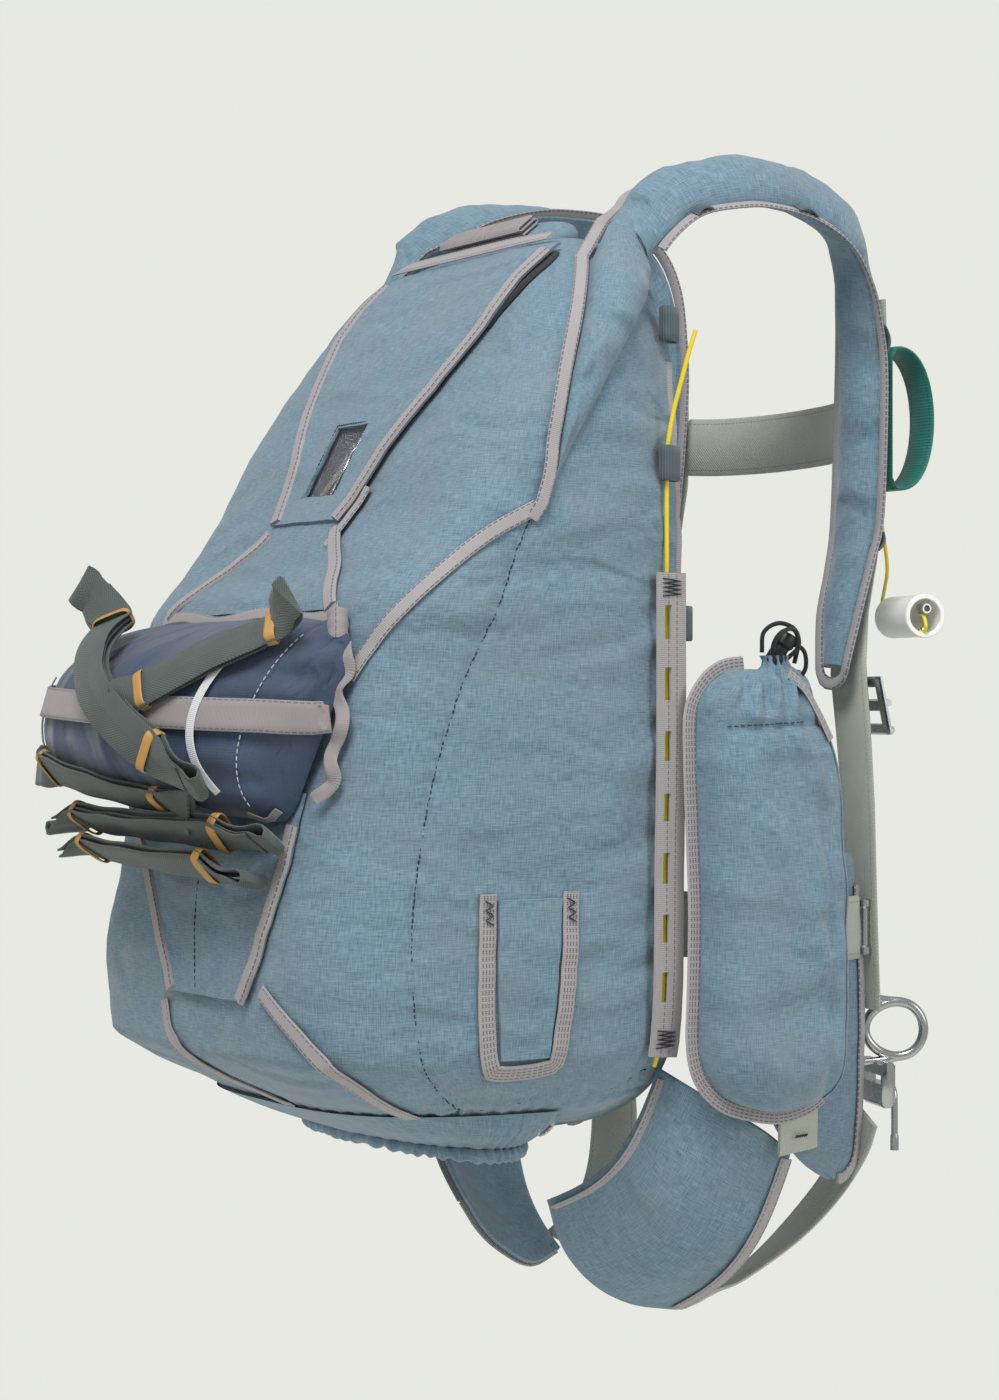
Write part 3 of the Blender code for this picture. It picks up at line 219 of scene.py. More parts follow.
@dataclass(frozen=True)
class WovenBand(Finish):
    """Loom-woven nylon tape or webbing: ribs across the band, with painted shade in their troughs, and rows
    of lockstitch along it.
    """
    colour: str = "#B0ABAC"
    shade: str = "#9F9A9C"
    thread: str = "#6F6A74"
    rib_mm: float = 1.3           # real ribs are about 1 mm apart
    chevron: bool = False
    rows_mm: tuple[float, ...] = ()
    stitch_mm: float = 4.2
    sheen: float = 0.2

    def dress(self, tree: bpy.types.NodeTree, shader: bpy.types.Node) -> None:
        """Draw the ribs, their troughs painted darker as painted shade, and the rows of stitches from the
        distances along and across the band.

        Args:
            tree: The material's node tree.
            shader: Its surface node.
        """
        uv = add_node(tree, "TexCoord").outputs["UV"]
        split = add_node(tree, "SeparateXYZ", {0: uv})
        across = add_node(tree, "Math", {0: split.outputs[1]}, operation="ABSOLUTE")
        place = split.outputs[0]
        if self.chevron:
            place = add_node(tree, "Math", {0: place, 1: across}, operation="ADD").outputs[0]
        turn = add_node(tree, "Math", {0: place, 1: 2 * math.pi / (self.rib_mm * MM)}, operation="MULTIPLY")
        rib = add_node(tree, "Math", {0: turn}, operation="SINE")
        # The rib's height sets the tone: the troughs take the shade colour, which is painted shade, and the
        # wear noise mottles it at random.
        height = add_node(tree, "MapRange", {"Value": rib, "From Min": -1.0})
        wear = add_node(tree, "TexNoise", {"Vector": uv, "Scale": 60.0, "Detail": 3.0})
        tone = add_node(tree, "Math", {0: height, 1: wear}, operation="MULTIPLY")
        face = add_node(tree, "Mix", {"Factor": tone, 6: srgb(self.shade), 7: srgb(self.colour)},
                        data_type="RGBA")
        colour = face.outputs[2]
        relief = height.outputs[0]
        for row in self.rows_mm:
            near = add_node(tree, "Math", {0: across, 1: row * MM, 2: 0.00042}, operation="COMPARE")
            pitch = add_node(tree, "Math", {0: split, 1: 1 / (self.stitch_mm * MM)},
                             operation="MULTIPLY")
            part = add_node(tree, "Math", {0: pitch}, operation="FRACT")
            dash = add_node(tree, "Math", {0: part, 1: 0.72}, operation="LESS_THAN")
            stitch = add_node(tree, "Math", {0: near, 1: dash}, operation="MULTIPLY")
            colour = add_node(tree, "Mix", {"Factor": stitch, 6: colour, 7: srgb(self.thread)},
                              data_type="RGBA").outputs[2]
            relief = add_node(tree, "Math", {0: relief, 1: near}, operation="SUBTRACT").outputs[0]
        tree.links.new(colour, shader.inputs["Base Color"])
        bump = add_node(tree, "Bump", {"Height": relief, "Strength": 0.45, "Distance": 0.0004})
        tree.links.new(bump.outputs[0], shader.inputs["Normal"])
        shader.inputs["Sheen Weight"].default_value = self.sheen


@dataclass(frozen=True)
class Moulded(Finish):
    """A moulded, extruded or dipped surface: even colour with faint mottling and a fine orange peel."""
    colour: str = "#E9E9E6"
    shade: str = "#D5D5D0"
    grain_mm: float = 2.5
    relief: float = 0.12
    coat: float = 0.0

    def dress(self, tree: bpy.types.NodeTree, shader: bpy.types.Node) -> None:
        """Mottle the colour and raise the grain.

        Args:
            tree: The material's node tree.
            shader: Its surface node.
        """
        place = add_node(tree, "TexCoord").outputs["Object"]
        grain = add_node(tree, "TexNoise", {"Vector": place, "Scale": 1 / (self.grain_mm * MM),
                                            "Detail": 3.0})
        cloud = add_node(tree, "TexNoise", {"Vector": place, "Scale": 40.0, "Detail": 2.0})
        mix = add_node(tree, "Mix", {"Factor": cloud, 6: srgb(self.colour), 7: srgb(self.shade)},
                       data_type="RGBA")
        tree.links.new(mix.outputs[2], shader.inputs["Base Color"])
        bump = add_node(tree, "Bump", {"Height": grain, "Strength": self.relief, "Distance": 0.0003})
        tree.links.new(bump.outputs[0], shader.inputs["Normal"])
        shader.inputs["Coat Weight"].default_value = self.coat


@dataclass(frozen=True)
class PlatedSteel(Finish):
    """Forged steel, tumbled and plated: bright, with soft dents and fine handling scratches."""
    colour: str = "#D3D4D4"
    scratch_mm: float = 0.9

    def dress(self, tree: bpy.types.NodeTree, shader: bpy.types.Node) -> None:
        """Vary the polish and press shallow dents.

        Args:
            tree: The material's node tree.
            shader: Its surface node.
        """
        shader.inputs["Metallic"].default_value = 1.0
        shader.inputs["Base Color"].default_value = srgb(self.colour)
        place = add_node(tree, "TexCoord").outputs["Object"]
        fine = add_node(tree, "TexNoise", {"Vector": place, "Scale": 1 / (self.scratch_mm * MM),
                                           "Detail": 4.0})
        polish = add_node(tree, "MapRange", {"Value": fine, "From Min": 0.3, "From Max": 0.7,
                                             "To Min": self.rough - 0.06, "To Max": self.rough + 0.12})
        tree.links.new(polish.outputs[0], shader.inputs["Roughness"])
        dents = add_node(tree, "TexNoise", {"Vector": place, "Scale": 150.0, "Detail": 2.0})
        bump = add_node(tree, "Bump", {"Height": dents, "Strength": 0.12, "Distance": 0.0006})
        tree.links.new(bump.outputs[0], shader.inputs["Normal"])


@dataclass(frozen=True)
class ClearFilm(Finish):
    """Cast clear vinyl: you see through it, with wavy reflections."""

    def dress(self, tree: bpy.types.NodeTree, shader: bpy.types.Node) -> None:
        """Let light through and wave the face.

        Args:
            tree: The material's node tree.
            shader: Its surface node.
        """
        shader.inputs["Base Color"].default_value = srgb("#F2F4F5")
        shader.inputs["Transmission Weight"].default_value = 1.0
        shader.inputs["IOR"].default_value = 1.12
        place = add_node(tree, "TexCoord").outputs["Object"]
        wave = add_node(tree, "TexNoise", {"Vector": place, "Scale": 55.0, "Detail": 2.0})
        bump = add_node(tree, "Bump", {"Height": wave, "Strength": 0.3, "Distance": 0.0015})
        tree.links.new(bump.outputs[0], shader.inputs["Normal"])


CANVAS = WovenCloth("woven nylon, heathered steel blue", Slot.CLOTH, 0.82)
# Near-black cloth used only beside the top flap's upper corners: painted shade of the gap under them, not a
# real inside face.
PAINTED_GAP_SHADE = WovenCloth("woven nylon, painted gap shade", Slot.CLOTH, 0.85, light="#1C242B", dark="#12171C",
                         warm="#171B1F")
WINDOW_LINING = WovenCloth("woven nylon, grey lining", Slot.CLOTH, 0.8, light="#6E7079", dark="#4D505A",
                           warm="#5F5C63")
BAG_NYLON = WovenCloth("woven nylon, navy", Slot.BAG, 0.7, light="#3E526E", dark="#2A3A50", warm="#34435A",
                       slub=1.6, sheen=0.3)
BINDING = WovenBand("grosgrain binding tape, lilac grey", Slot.TAPE, 0.8, rows_mm=(3.8,))
STRIPE = WovenBand("flat woven tape, lilac grey", Slot.TAPE, 0.75, colour="#A49D9E", shade="#928B8C",
                   rib_mm=0.9, rows_mm=(9.2,))
POCKET_BINDING = WovenBand("grosgrain binding tape, two rows", Slot.TAPE, 0.8, rows_mm=(1.1, 3.4))
HARNESS_WEB = WovenBand("flat harness webbing, stone grey", Slot.HARNESS, 0.75, colour="#C4C6BA",
                        shade="#A6A99D", thread="#8D918B", rib_mm=2.4, chevron=True, rows_mm=(17.5,))
BAG_WEB = WovenBand("tubular webbing, grey green", Slot.BAG_WEB, 0.7, colour="#5F6B67", shade="#414A48",
                    thread="#9AA39E", rib_mm=2.2, chevron=True)
KEEPER_WEB = WovenBand("narrow webbing, slate", Slot.KEEPER, 0.7, colour="#5E7178", shade="#3F4E55",
                       rib_mm=2.0)
GREEN_WEB = WovenBand("flat webbing, emerald", Slot.GREEN, 0.65, colour="#0F8276", shade="#0A665C",
                      thread="#084B43", rib_mm=2.2, rows_mm=(9.5,))
WHITE_TAPE = WovenBand("narrow cotton tape, white", None, 0.8, colour="#E8E8EA", shade="#CDCDD2",
                       thread="#9A9AA2")
PALE_THREAD = Moulded("bonded thread, pale", None, 0.7, colour="#C9CFD6", shade="#AEB6BF", relief=0.3)
DARK_THREAD = Moulded("bonded thread, dark", None, 0.8, colour="#2F3C49", shade="#27323D", relief=0.3)
TAN_RUBBER = Moulded("natural rubber band", None, 0.55, colour="#C79A57", shade="#B08345", relief=0.2)
YELLOW_CABLE = Moulded("vinyl-coated cable, yellow", Slot.CABLE, 0.38, colour="#F3DE26", shade="#E3C91C",
                       relief=0.05, coat=0.2)
PVC = Moulded("extruded PVC tube, white", Slot.TUBE, 0.28, colour="#F2F2F0", shade="#E6E6E3", relief=0.05,
              coat=0.3)
BLACK_NYLON = Moulded("moulded nylon, black", Slot.PLASTIC, 0.42, colour="#17181A", shade="#1F2022",
                      relief=0.3)
BLACK_CORD = WovenBand("braided cord, black", Slot.PLASTIC, 0.75, colour="#202124", shade="#101113",
                       rib_mm=2.0, chevron=True)
STEEL = PlatedSteel("forged steel, nickel plated", Slot.STEEL, 0.2, colour="#B4B6B7")
FILM = ClearFilm("cast vinyl film, clear", Slot.FILM, 0.05)


class Draft:
    """Points, faces and cloth distances of a mesh in the making."""

    def __init__(self) -> None:
        """Start with nothing."""
        self.points: list[Vector] = []
        self.faces: list[tuple[tuple[int, ...], tuple[Pair, ...]]] = []

    def grid(self, rings: Sequence[Sequence[Vector]], wrap: bool = False, loop: bool = False,
             places: Optional[Sequence[float]] = None) -> list[list[int]]:
        """Join rows of points with faces.

        Args:
            rings: Rows of equal length.
            wrap: Whether each row closes on itself.
            loop: Whether the last row joins the first.
            places: Distances across for each point of a row, or none to measure them.

        Returns:
            The number of each point, row by row.
        """
        start = len(self.points)
        size = len(rings[0])
        numbers = [[start + row * size + column for column in range(size)] for row in range(len(rings))]
        for ring in rings:
            self.points.extend(ring)
        across = self.distances(rings[len(rings) // 2], wrap) if places is None else list(places)
        if wrap and len(across) == size:
            across.append(across[0])
        down = self.distances([ring[size // 2] for ring in rings], loop)
        last_row = len(rings) if loop else len(rings) - 1
        last_column = size if wrap else size - 1
        for row in range(last_row):
            below = (row + 1) % len(rings)
            for column in range(last_column):
                after = (column + 1) % size
                corners = (numbers[row][column], numbers[row][after], numbers[below][after],
                           numbers[below][column])
                flat = ((down[row], across[column]), (down[row], across[column + 1]),
                        (down[row + 1], across[column + 1]), (down[row + 1], across[column]))
                self.faces.append((corners, flat))
        return numbers

    @staticmethod
    def distances(line: Sequence[Vector], closed: bool) -> list[float]:
        """Return the running distances along a line, from its middle.

        Args:
            line: Points in order.
            closed: Whether to add the way back to the start.

        Returns:
            One distance for each point, and one more where the line is closed.
        """
        run = [0.0]
        points = list(line) + ([line[0]] if closed else [])
        for before, after in zip(points, points[1:]):
            run.append(run[-1] + (after - before).length)
        return [value - run[-1] / 2 for value in run]

    def face(self, corners: Sequence[int]) -> None:
        """Add one flat face."""
        flat = tuple((self.points[i].x, self.points[i].z) for i in corners)
        self.faces.append((tuple(corners), flat))

    def build(self, name: str, finish: Finish, crease: float = 45.0) -> bpy.types.Object:
        """Make the object.

        Args:
            name: The piece's name.
            finish: Its finish.
            crease: Edges sharper than this many degrees stay sharp.

        Returns:
            The object, linked to the scene.
        """
        shape = bmesh.new()
        layer = shape.loops.layers.uv.new("cloth")
        corners = [shape.verts.new(point * MM) for point in self.points]
        for indices, flat in self.faces:
            made = shape.faces.new([corners[i] for i in indices])
            for loop, place in zip(made.loops, flat):
                loop[layer].uv = (place[0] * MM, place[1] * MM)
        bmesh.ops.recalc_face_normals(shape, faces=shape.faces)
        mesh = bpy.data.meshes.new(name)
        shape.to_mesh(mesh)
        shape.free()
        mesh.shade_smooth()
        mesh.set_sharp_from_angle(angle=math.radians(crease))
        mesh.materials.append(finish.material())
        made_object = bpy.data.objects.new(name, mesh)
        bpy.context.scene.collection.objects.link(made_object)
        return made_object


def hull(name: str, rings: Sequence[Sequence[Vector]], finish: Finish, crease: float = 60.0,
         closed: bool = False, places: Optional[Sequence[float]] = None) -> bpy.types.Object:
    """Join rings of points into one body, with a flat face on each end.

    Args:
        name: The piece's name.
        rings: Rings of equal length.
        finish: Its finish.
        crease: Edges sharper than this many degrees stay sharp.
        closed: Whether the last ring joins the first, so that it has no ends.
        places: Distances round a ring, or none to measure them.

    Returns:
        The object.
    """
    draft = Draft()
    numbers = draft.grid(rings, wrap=True, loop=closed, places=places)
    if not closed:
        draft.face(numbers[0])
        draft.face(numbers[-1])
    return draft.build(name, finish, crease)


def mirrored(points: Iterable[Vector], side: Side) -> list[Vector]:
    """Return the points, or their mirror images on the left side."""
    return [mirror(point, side) for point in points]


def recoat(node: bpy.types.Object, finish: Finish) -> None:
    """Give a node's solid its finish."""
    node.data.materials.clear()
    node.data.materials.append(finish.material())


def fit(piece: bpy.types.Object, *nodes: str, body: str = "rig") -> bpy.types.Object:
    """Set a piece on its body, and hide the nodes that it stands for.

    Args:
        piece: The piece.
        *nodes: The nodes that it replaces.
        body: The body that it moves with.

    Returns:
        The same piece.
    """
    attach(piece, body)
    if nodes:
        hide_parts(*nodes)
    LOG.info("%s: %d points", piece.name, len(piece.data.vertices))
    return piece


def table_value(rows: Sequence[Sequence[float]], column: int, where: float) -> float:
    """Read one column of a table by a smooth curve that never overshoots its rows.

    Args:
        rows: The table, with the places in its first column.
        column: The column to read.
        where: The place.

    Returns:
        The value there.
    """
    ordered = sorted(rows)
    places = [row[0] for row in ordered]
    values = [row[column] for row in ordered]
    where = min(max(where, places[0]), places[-1])
    steps = [after - before for before, after in zip(places, places[1:])]
    slopes = [(after - before) / step for before, after, step in zip(values, values[1:], steps)]
    tangents = [slopes[0]]
    for index in range(1, len(slopes)):
        before, after = slopes[index - 1], slopes[index]
        if before * after <= 0:
            tangents.append(0.0)
            continue
        near = 2 * steps[index] + steps[index - 1]
        far = steps[index] + 2 * steps[index - 1]
        tangents.append((near + far) / (near / before + far / after))
    tangents.append(slopes[-1])
    index = min(max(bisect_right(places, where) - 1, 0), len(steps) - 1)
    step = steps[index]
    t = (where - places[index]) / step
    start = (1 + 2 * t) * (1 - t) ** 2 * values[index] + t * (1 - t) ** 2 * step * tangents[index]
    end = t * t * (3 - 2 * t) * values[index + 1] + t * t * (t - 1) * step * tangents[index + 1]
    return start + end


def divide(fine: Sequence[Vector], count: int) -> list[Vector]:
    """Divide a polyline into equal steps.

    Args:
        fine: Points in order.
        count: How many steps.

    Returns:
        One point more than the steps.
    """
    lengths = [0.0]
    for before, after in zip(fine, fine[1:]):
        lengths.append(lengths[-1] + (after - before).length)
    result = []
    for number in range(count + 1):
        goal = lengths[-1] * number / count
        index = min(max(bisect_right(lengths, goal) - 1, 0), len(fine) - 2)
        share = (goal - lengths[index]) / max(lengths[index + 1] - lengths[index], 1e-9)
        result.append(fine[index].lerp(fine[index + 1], min(share, 1.0)))
    return result


def curve_point(before: Vector, start: Vector, end: Vector, after: Vector, t: float) -> Vector:
    """Return the point of a smooth curve that lies at this share of the way from start to end."""
    return 0.5 * (2 * start + (end - before) * t + (2 * before - 5 * start + 4 * end - after) * t ** 2
                  + (3 * start - before - 3 * end + after) * t ** 3)


def circle(centre: Vector, first: Vector, second: Vector, radius: float, sides: int) -> list[Vector]:
    """Return points round a centre, in the plane of two unit vectors."""
    turns = [2 * math.pi * step / sides for step in range(sides)]
    return [centre + (first * math.cos(turn) + second * math.sin(turn)) * radius for turn in turns]


def smooth_path(points: Iterable[Sequence[float]], spacing: float) -> list[Vector]:
    """Run a smooth curve through the points and divide it into equal steps.

    Args:
        points: Points in order.
        spacing: The length of a step, about.

    Returns:
        Points along the curve.
    """
    knots = [Vector(point) for point in points]
    knots = [2 * knots[0] - knots[1]] + knots + [2 * knots[-1] - knots[-2]]
    fine = []
    for index in range(1, len(knots) - 2):
        fine.extend(curve_point(*knots[index - 1:index + 3], step / 12) for step in range(12))
    fine.append(knots[-2])
    length = sum((after - before).length for before, after in zip(fine, fine[1:]))
    return divide(fine, max(2, round(length / spacing)))


def tangents_of(points: Sequence[Vector], closed: bool = False) -> list[Vector]:
    """Return the direction of a path at each of its points.

    Args:
        points: The path.
        closed: Whether it is a loop.

    Returns:
        One unit vector for each point.
    """
    count = len(points)
    if closed:
        return [(points[(i + 1) % count] - points[i - 1]).normalized() for i in range(count)]
    return [(points[min(i + 1, count - 1)] - points[max(i - 1, 0)]).normalized() for i in range(count)]


def mirror(point: Sequence[float], side: Side) -> Vector:
    """Return the point on the right side, or its mirror image on the left side."""
    return Vector((point[0] * side.sign, point[1], point[2]))


def dense_rows(rows: Sequence[tuple], steps: int) -> list[tuple]:
    """Put smooth rows between the rows of a table of points and sizes.

    Args:
        rows: The table.
        steps: How many new rows for each old one.

    Returns:
        The denser table.
    """
    result = []
    tracks = [[Vector(row[c]) if isinstance(row[c], tuple) else Vector((row[c], 0, 0)) for row in rows]
              for c in range(len(rows[0]))]
    for index in range(len(rows) - 1):
        for step in range(steps):
            row = []
            for column, track in enumerate(tracks):
                before, start = track[max(index - 1, 0)], track[index]
                end, after = track[index + 1], track[min(index + 2, len(track) - 1)]
                value = curve_point(before, start, end, after, step / steps)
                row.append(tuple(value) if isinstance(rows[0][column], tuple) else value.x)
            result.append(tuple(row))
    result.append(tuple(rows[-1]))
    return result


def crumple(point: Vector, size: float, amount: float, seed: float = 0.0) -> float:
    """Return a soft random height for cloth at a point.

    Args:
        point: The place in millimetres.
        size: The width of a crumple in millimetres.
        amount: Its height in millimetres.
        seed: A shift that gives each piece its own pattern.

    Returns:
        The height in millimetres.
    """
    return amount * noise.noise(point / size + Vector((seed, seed * 1.7, -seed)))


def band(name: str, centres: Sequence[Vector], outs: Sequence[Vector], width: float, thickness: float,
         finish: Finish, closed: bool = False, lift: float = 0.0, camber: float = 0.0,
         shares: Optional[Sequence[float]] = None) -> bpy.types.Object:
    """Weave a flat band with rounded edges along a path.

    Args:
        name: The piece's name.
        centres: The middle line of its inner face.
        outs: The way that its outer face looks, at each point.
        width: Its width.
        thickness: Its thickness.
        finish: Its finish.
        closed: Whether it is a loop.
        lift: How far it is raised.
        camber: How far its middle stands over its edges.
        shares: The share of its width that it has at each point, or none where it is even.

    Returns:
        The object.
    """
    rings = []
    half = width / 2
    shares = shares or [1.0] * len(centres)
    soft = min(thickness * 0.45, half * 0.3)
    profile = ((-half, 0.5), (-half + soft, 0.0), (0.0, 0.0), (half - soft, 0.0), (half, 0.5),
               (half - soft, 1.0), (half * 0.5, 1.0), (0.0, 1.0), (-half * 0.5, 1.0), (-half + soft, 1.0))
    for centre, direction, out, share in zip(centres, tangents_of(centres, closed), outs, shares):
        across = direction.cross(out).normalized()
        up = across.cross(direction).normalized()
        up = up if up.dot(out) > 0 else -up
        bow = camber + (1 - share) * half * 0.5
        rings.append([centre + across * x * share
                      + up * (lift + level * thickness + bow * (1 - (x / half) ** 2))
                      for x, level in profile])
    return hull(name, rings, finish, 50, closed, [x for x, _ in profile] + [-half])


def sheet(name: str, places: Sequence[Sequence[tuple[Vector, Vector]]], finish: Finish,
          open_cells: Iterable[tuple[int, int]] = (), crease: float = 45.0) -> bpy.types.Object:
    """Join two grids of points into one sheet with walls round its edge and round each open cell.

    Args:
        name: The piece's name.
        places: Rows of places, each with its inner and its outer point.
        finish: Its finish.
        open_cells: Cells that are cut out.
        crease: Edges sharper than this many degrees stay sharp.

    Returns:
        The object.
    """
    draft = Draft()
    first, second = (draft.grid([[place[face] for place in row] for row in places]) for face in (0, 1))
    cells = [(r, c) for r in range(len(places) - 1) for c in range(len(places[0]) - 1)]
    closed_cells = set(cells) - set(open_cells)
    kept = [index for index, cell in enumerate(cells) if cell in closed_cells]
    size = len(cells)
    draft.faces = [draft.faces[i] for i in kept] + [draft.faces[size + i] for i in kept]
    for r, c in sorted(closed_cells):
        walls = (((r - 1, c), (r, c), (r, c + 1)), ((r, c + 1), (r, c + 1), (r + 1, c + 1)),
                 ((r + 1, c), (r + 1, c + 1), (r + 1, c)), ((r, c - 1), (r + 1, c), (r, c)))
        for neighbour, (r1, c1), (r2, c2) in walls:
            if neighbour not in closed_cells:
                draft.face((first[r1][c1], first[r2][c2], second[r2][c2], second[r1][c1]))
    used = sorted({index for corners, _ in draft.faces for index in corners})
    place = {index: number for number, index in enumerate(used)}
    draft.points = [draft.points[index] for index in used]
    draft.faces = [(tuple(place[i] for i in corners), flat) for corners, flat in draft.faces]
    return draft.build(name, finish, crease)


def rod(name: str, points: Sequence[Vector], radius: float | Sequence[float], finish: Finish, sides: int = 12,
        closed: bool = False) -> bpy.types.Object:
    """Sweep a round section along a path.

    Args:
        name: The piece's name.
        points: The path.
        radius: One radius, or one for each point.
        finish: Its finish.
        sides: Points round the section.
        closed: Whether the path is a loop.

    Returns:
        The object.
    """
    radii = [radius] * len(points) if isinstance(radius, (int, float)) else list(radius)
    directions = tangents_of(points, closed)
    first = directions[0].orthogonal().normalized()
    rings = []
    for point, direction, size in zip(points, directions, radii):
        first = (first - direction * first.dot(direction)).normalized()
        second = direction.cross(first)
        rings.append(circle(point, first, second, size, sides))
    return hull(name, rings, finish, 60, closed)


def turned(name: str, profile: Sequence[Pair], finish: Finish, place: Vector, axis: Vector, sides: int = 40,
           closed: bool = False) -> bpy.types.Object:
    """Turn a profile about an axis.

    Args:
        name: The piece's name.
        profile: Radii and heights.
        finish: Its finish.
        place: The axis's start.
        axis: Its direction.
        sides: Points round the axis.
        closed: Whether the profile is a loop.

    Returns:
        The object.
    """
    turn = axis.normalized().to_track_quat("Z", "Y").to_matrix()
    rings = [[place + turn @ Vector((radius * math.cos(2 * math.pi * n / sides),
                                     radius * math.sin(2 * math.pi * n / sides), height))
              for n in range(sides)]
             for radius, height in profile]
    return hull(name, rings, finish, 35, closed)


def stitches(name: str, line: Sequence[Vector], finish: Finish, dash: float = 3.2, gap: float = 1.3,
             size: float = 0.42) -> bpy.types.Object:
    """Sew a row of stitches along a line.

    Args:
        name: The piece's name.
        line: Points in order, already lifted to the cloth's face.
        finish: The thread's finish.
        dash: The length of a stitch.
        gap: The space to the next.
        size: The thread's radius.

    Returns:
        The object, with one small body for each stitch.
    """
    length = sum((after - before).length for before, after in zip(line, line[1:]))
    count = max(1, round(length / (dash + gap)))
    marks = divide(line, count * 4)
    draft = Draft()
    for number in range(count):
        start, end = marks[number * 4], marks[number * 4 + 3]
        direction = (end - start).normalized()
        first = direction.orthogonal().normalized()
        second = direction.cross(first)
        rings = []
        for share, part in ((0.0, 0.4), (0.25, 1.0), (0.75, 1.0), (1.0, 0.4)):
            rings.append(circle(start.lerp(end, share), first, second, size * part, 4))
        numbers = draft.grid(rings, wrap=True)
        draft.face(numbers[0])
        draft.face(numbers[-1])
    return draft.build(name, finish, 80)


@dataclass
class ContainerForm:
    """The shape of the filled container, on which most pieces are sewn."""
    # height, half_width, rear_depth, front, squareness
    rows: tuple[tuple[float, ...], ...] = (
        (-8, 112, 62, -14, 4.5), (-25, 140, 79, -6, 5.0), (-50, 166, 99, 0, 6.0), (-80, 180, 120, 0, 7.0),
        (-110, 186, 140, 0, 7.5), (-150, 189, 164, 0, 8.0), (-190, 191, 186, 0, 8.0),
        (-225, 192, 210, 0, 8.0), (-256, 192, 236, 0, 8.0), (-300, 192, 248, 0, 7.0),
        (-340, 192, 257, 0, 6.5), (-420, 190, 271, 0, 6.0), (-490, 189, 283, 0, 6.0),
        (-538, 184, 281, 0, 6.0), (-556, 175, 262, -2, 5.0), (-576, 154, 228, -12, 3.6),
        (-592, 120, 196, -34, 3.0), (-598, 92, 168, -60, 2.8))
    pinch: float = 36.0
    pinch_depth: float = 85.0
    crown: float = 9.0
    side_seam: tuple[Triple, ...] = (
        (190, -136, -201), (190, -146, -222), (190, -160, -258), (187, -187, -314), (184, -206, -375),
        (181, -215, -436), (181, -215, -497), (173, -200, -548), (140, -158, -577))
    bottom_seam: tuple[Triple, ...] = ((176, -20, -556), (168, -60, -566), (160, -119, -571),
                                       (140, -158, -577), (100, -200, -582), (40, -218, -582),
                                       (0, -220, -582))
    seams: list[list[Vector]] = field(default_factory=list)
    tree: Optional[kdtree.KDTree] = None
    along: list[float] = field(default_factory=list)

    def sew(self) -> None:
        """Lay the seams on the shape, both sides."""
        for side in Side:
            for path in (self.side_seam, self.bottom_seam):
                line = smooth_path([self.seated(Vector(point)) for point in path], 3)
                self.seams.append([mirror(self.seated(point), side) for point in line])
        flat = [(point, index * 3.0) for line in self.seams for index, point in enumerate(line)]
        self.tree = kdtree.KDTree(len(flat))
        for index, (point, run) in enumerate(flat):
            self.tree.insert(point, index)
            self.along.append(run)
        self.tree.balance()

    def section(self, height: float) -> list[float]:
        """Return the half width, rear depth, front and squareness at this height."""
        return [table_value(self.rows, column, height) for column in range(1, 5)]

    def pinched(self, y: float) -> float:
        """Return how far the side draws in at this distance behind the back pad."""
        return self.pinch * max(0.0, 1 - abs(y) / self.pinch_depth) ** 2

    def seated(self, point: Vector) -> Vector:
        """Move a point straight out from the container's middle onto its surface.

        Args:
            point: A point near the container.

        Returns:
            The point on the surface at the same height.
        """
        x, y, z = point
        half_width, depth, _, squareness = self.section(z)
        reach = (abs(x) + self.pinched(y)) / half_width
        scale = (reach ** squareness + (abs(y) / depth) ** squareness) ** (-1 / squareness)
        rear_y = y * scale
        return Vector((math.copysign(reach * scale * half_width - self.pinched(rear_y), x), rear_y, z))

    def rear_point(self, x: float, z: float) -> Vector:
        """Return the point of the rear at this side distance and height."""
        half_width, depth, _, squareness = self.section(z)
        return Vector((x, -depth * (1 - min(abs(x) / half_width, 1) ** squareness) ** (1 / squareness), z))

    def side_point(self, y: float, z: float) -> Vector:
        """Return the point of the right side at this distance behind the back pad.

        Args:
            y: The distance behind the back pad, as a place.
            z: The height.

        Returns:
            The point.
        """
        half_width, depth, _, squareness = self.section(z)
        x = half_width * (1 - min(abs(y) / depth, 1) ** squareness) ** (1 / squareness)
        return Vector((x - self.pinched(y), y, z))

    def fullness(self, x: float, y: float, z: float) -> float:
        """Return a value that grows outward and is one on the surface."""
        half_width, depth, _, squareness = self.section(z)
        return ((abs(x) + self.pinched(y)) / half_width) ** squareness + (abs(y) / depth) ** squareness

    def normal(self, point: Vector) -> Vector:
        """Return the direction straight out of the surface.

        Args:
            point: A point on the surface.

        Returns:
            A unit vector.
        """
        x, y, z = point
        step = 0.5
        return Vector((self.fullness(x + step, y, z) - self.fullness(x - step, y, z),
                       self.fullness(x, y + step, z) - self.fullness(x, y - step, z),
                       self.fullness(x, y, z + step) - self.fullness(x, y, z - step))).normalized()

    def relief(self, point: Vector) -> float:
        """Return how far the cloth stands over the plain shape: broad folds, crumples and puckered seams.

        Args:
            point: A point on the surface.

        Returns:
            The height over it.
        """
        x, y, z = point
        broad = 2.2 * noise.noise(Vector((x * 0.009, y * 0.009, z * 0.02)))
        fine = 0.9 * noise.noise(Vector((x * 0.035 + 7, y * 0.03, z * 0.09)))
        slack = 2.6 * noise.noise(Vector((abs(x) * 0.01 + 3, y * 0.012, z * 0.055)))
        slack *= max(0.0, 1 - abs(y + 45) / 90)
        height = broad + fine + slack - 1.2
        if self.tree:
            _, index, away = self.tree.find(point)
            height -= 2.0 * math.exp(-(away / 2.6) ** 2)
            height += 0.9 * math.sin(2 * math.pi * self.along[index] / 13) * math.exp(-(away / 14) ** 2)
        return min(height, 1.8)

    def lifted(self, point: Vector, height: float) -> Vector:
        """Raise a point off the folded cloth."""
        return point + self.normal(point) * (height + self.relief(point))

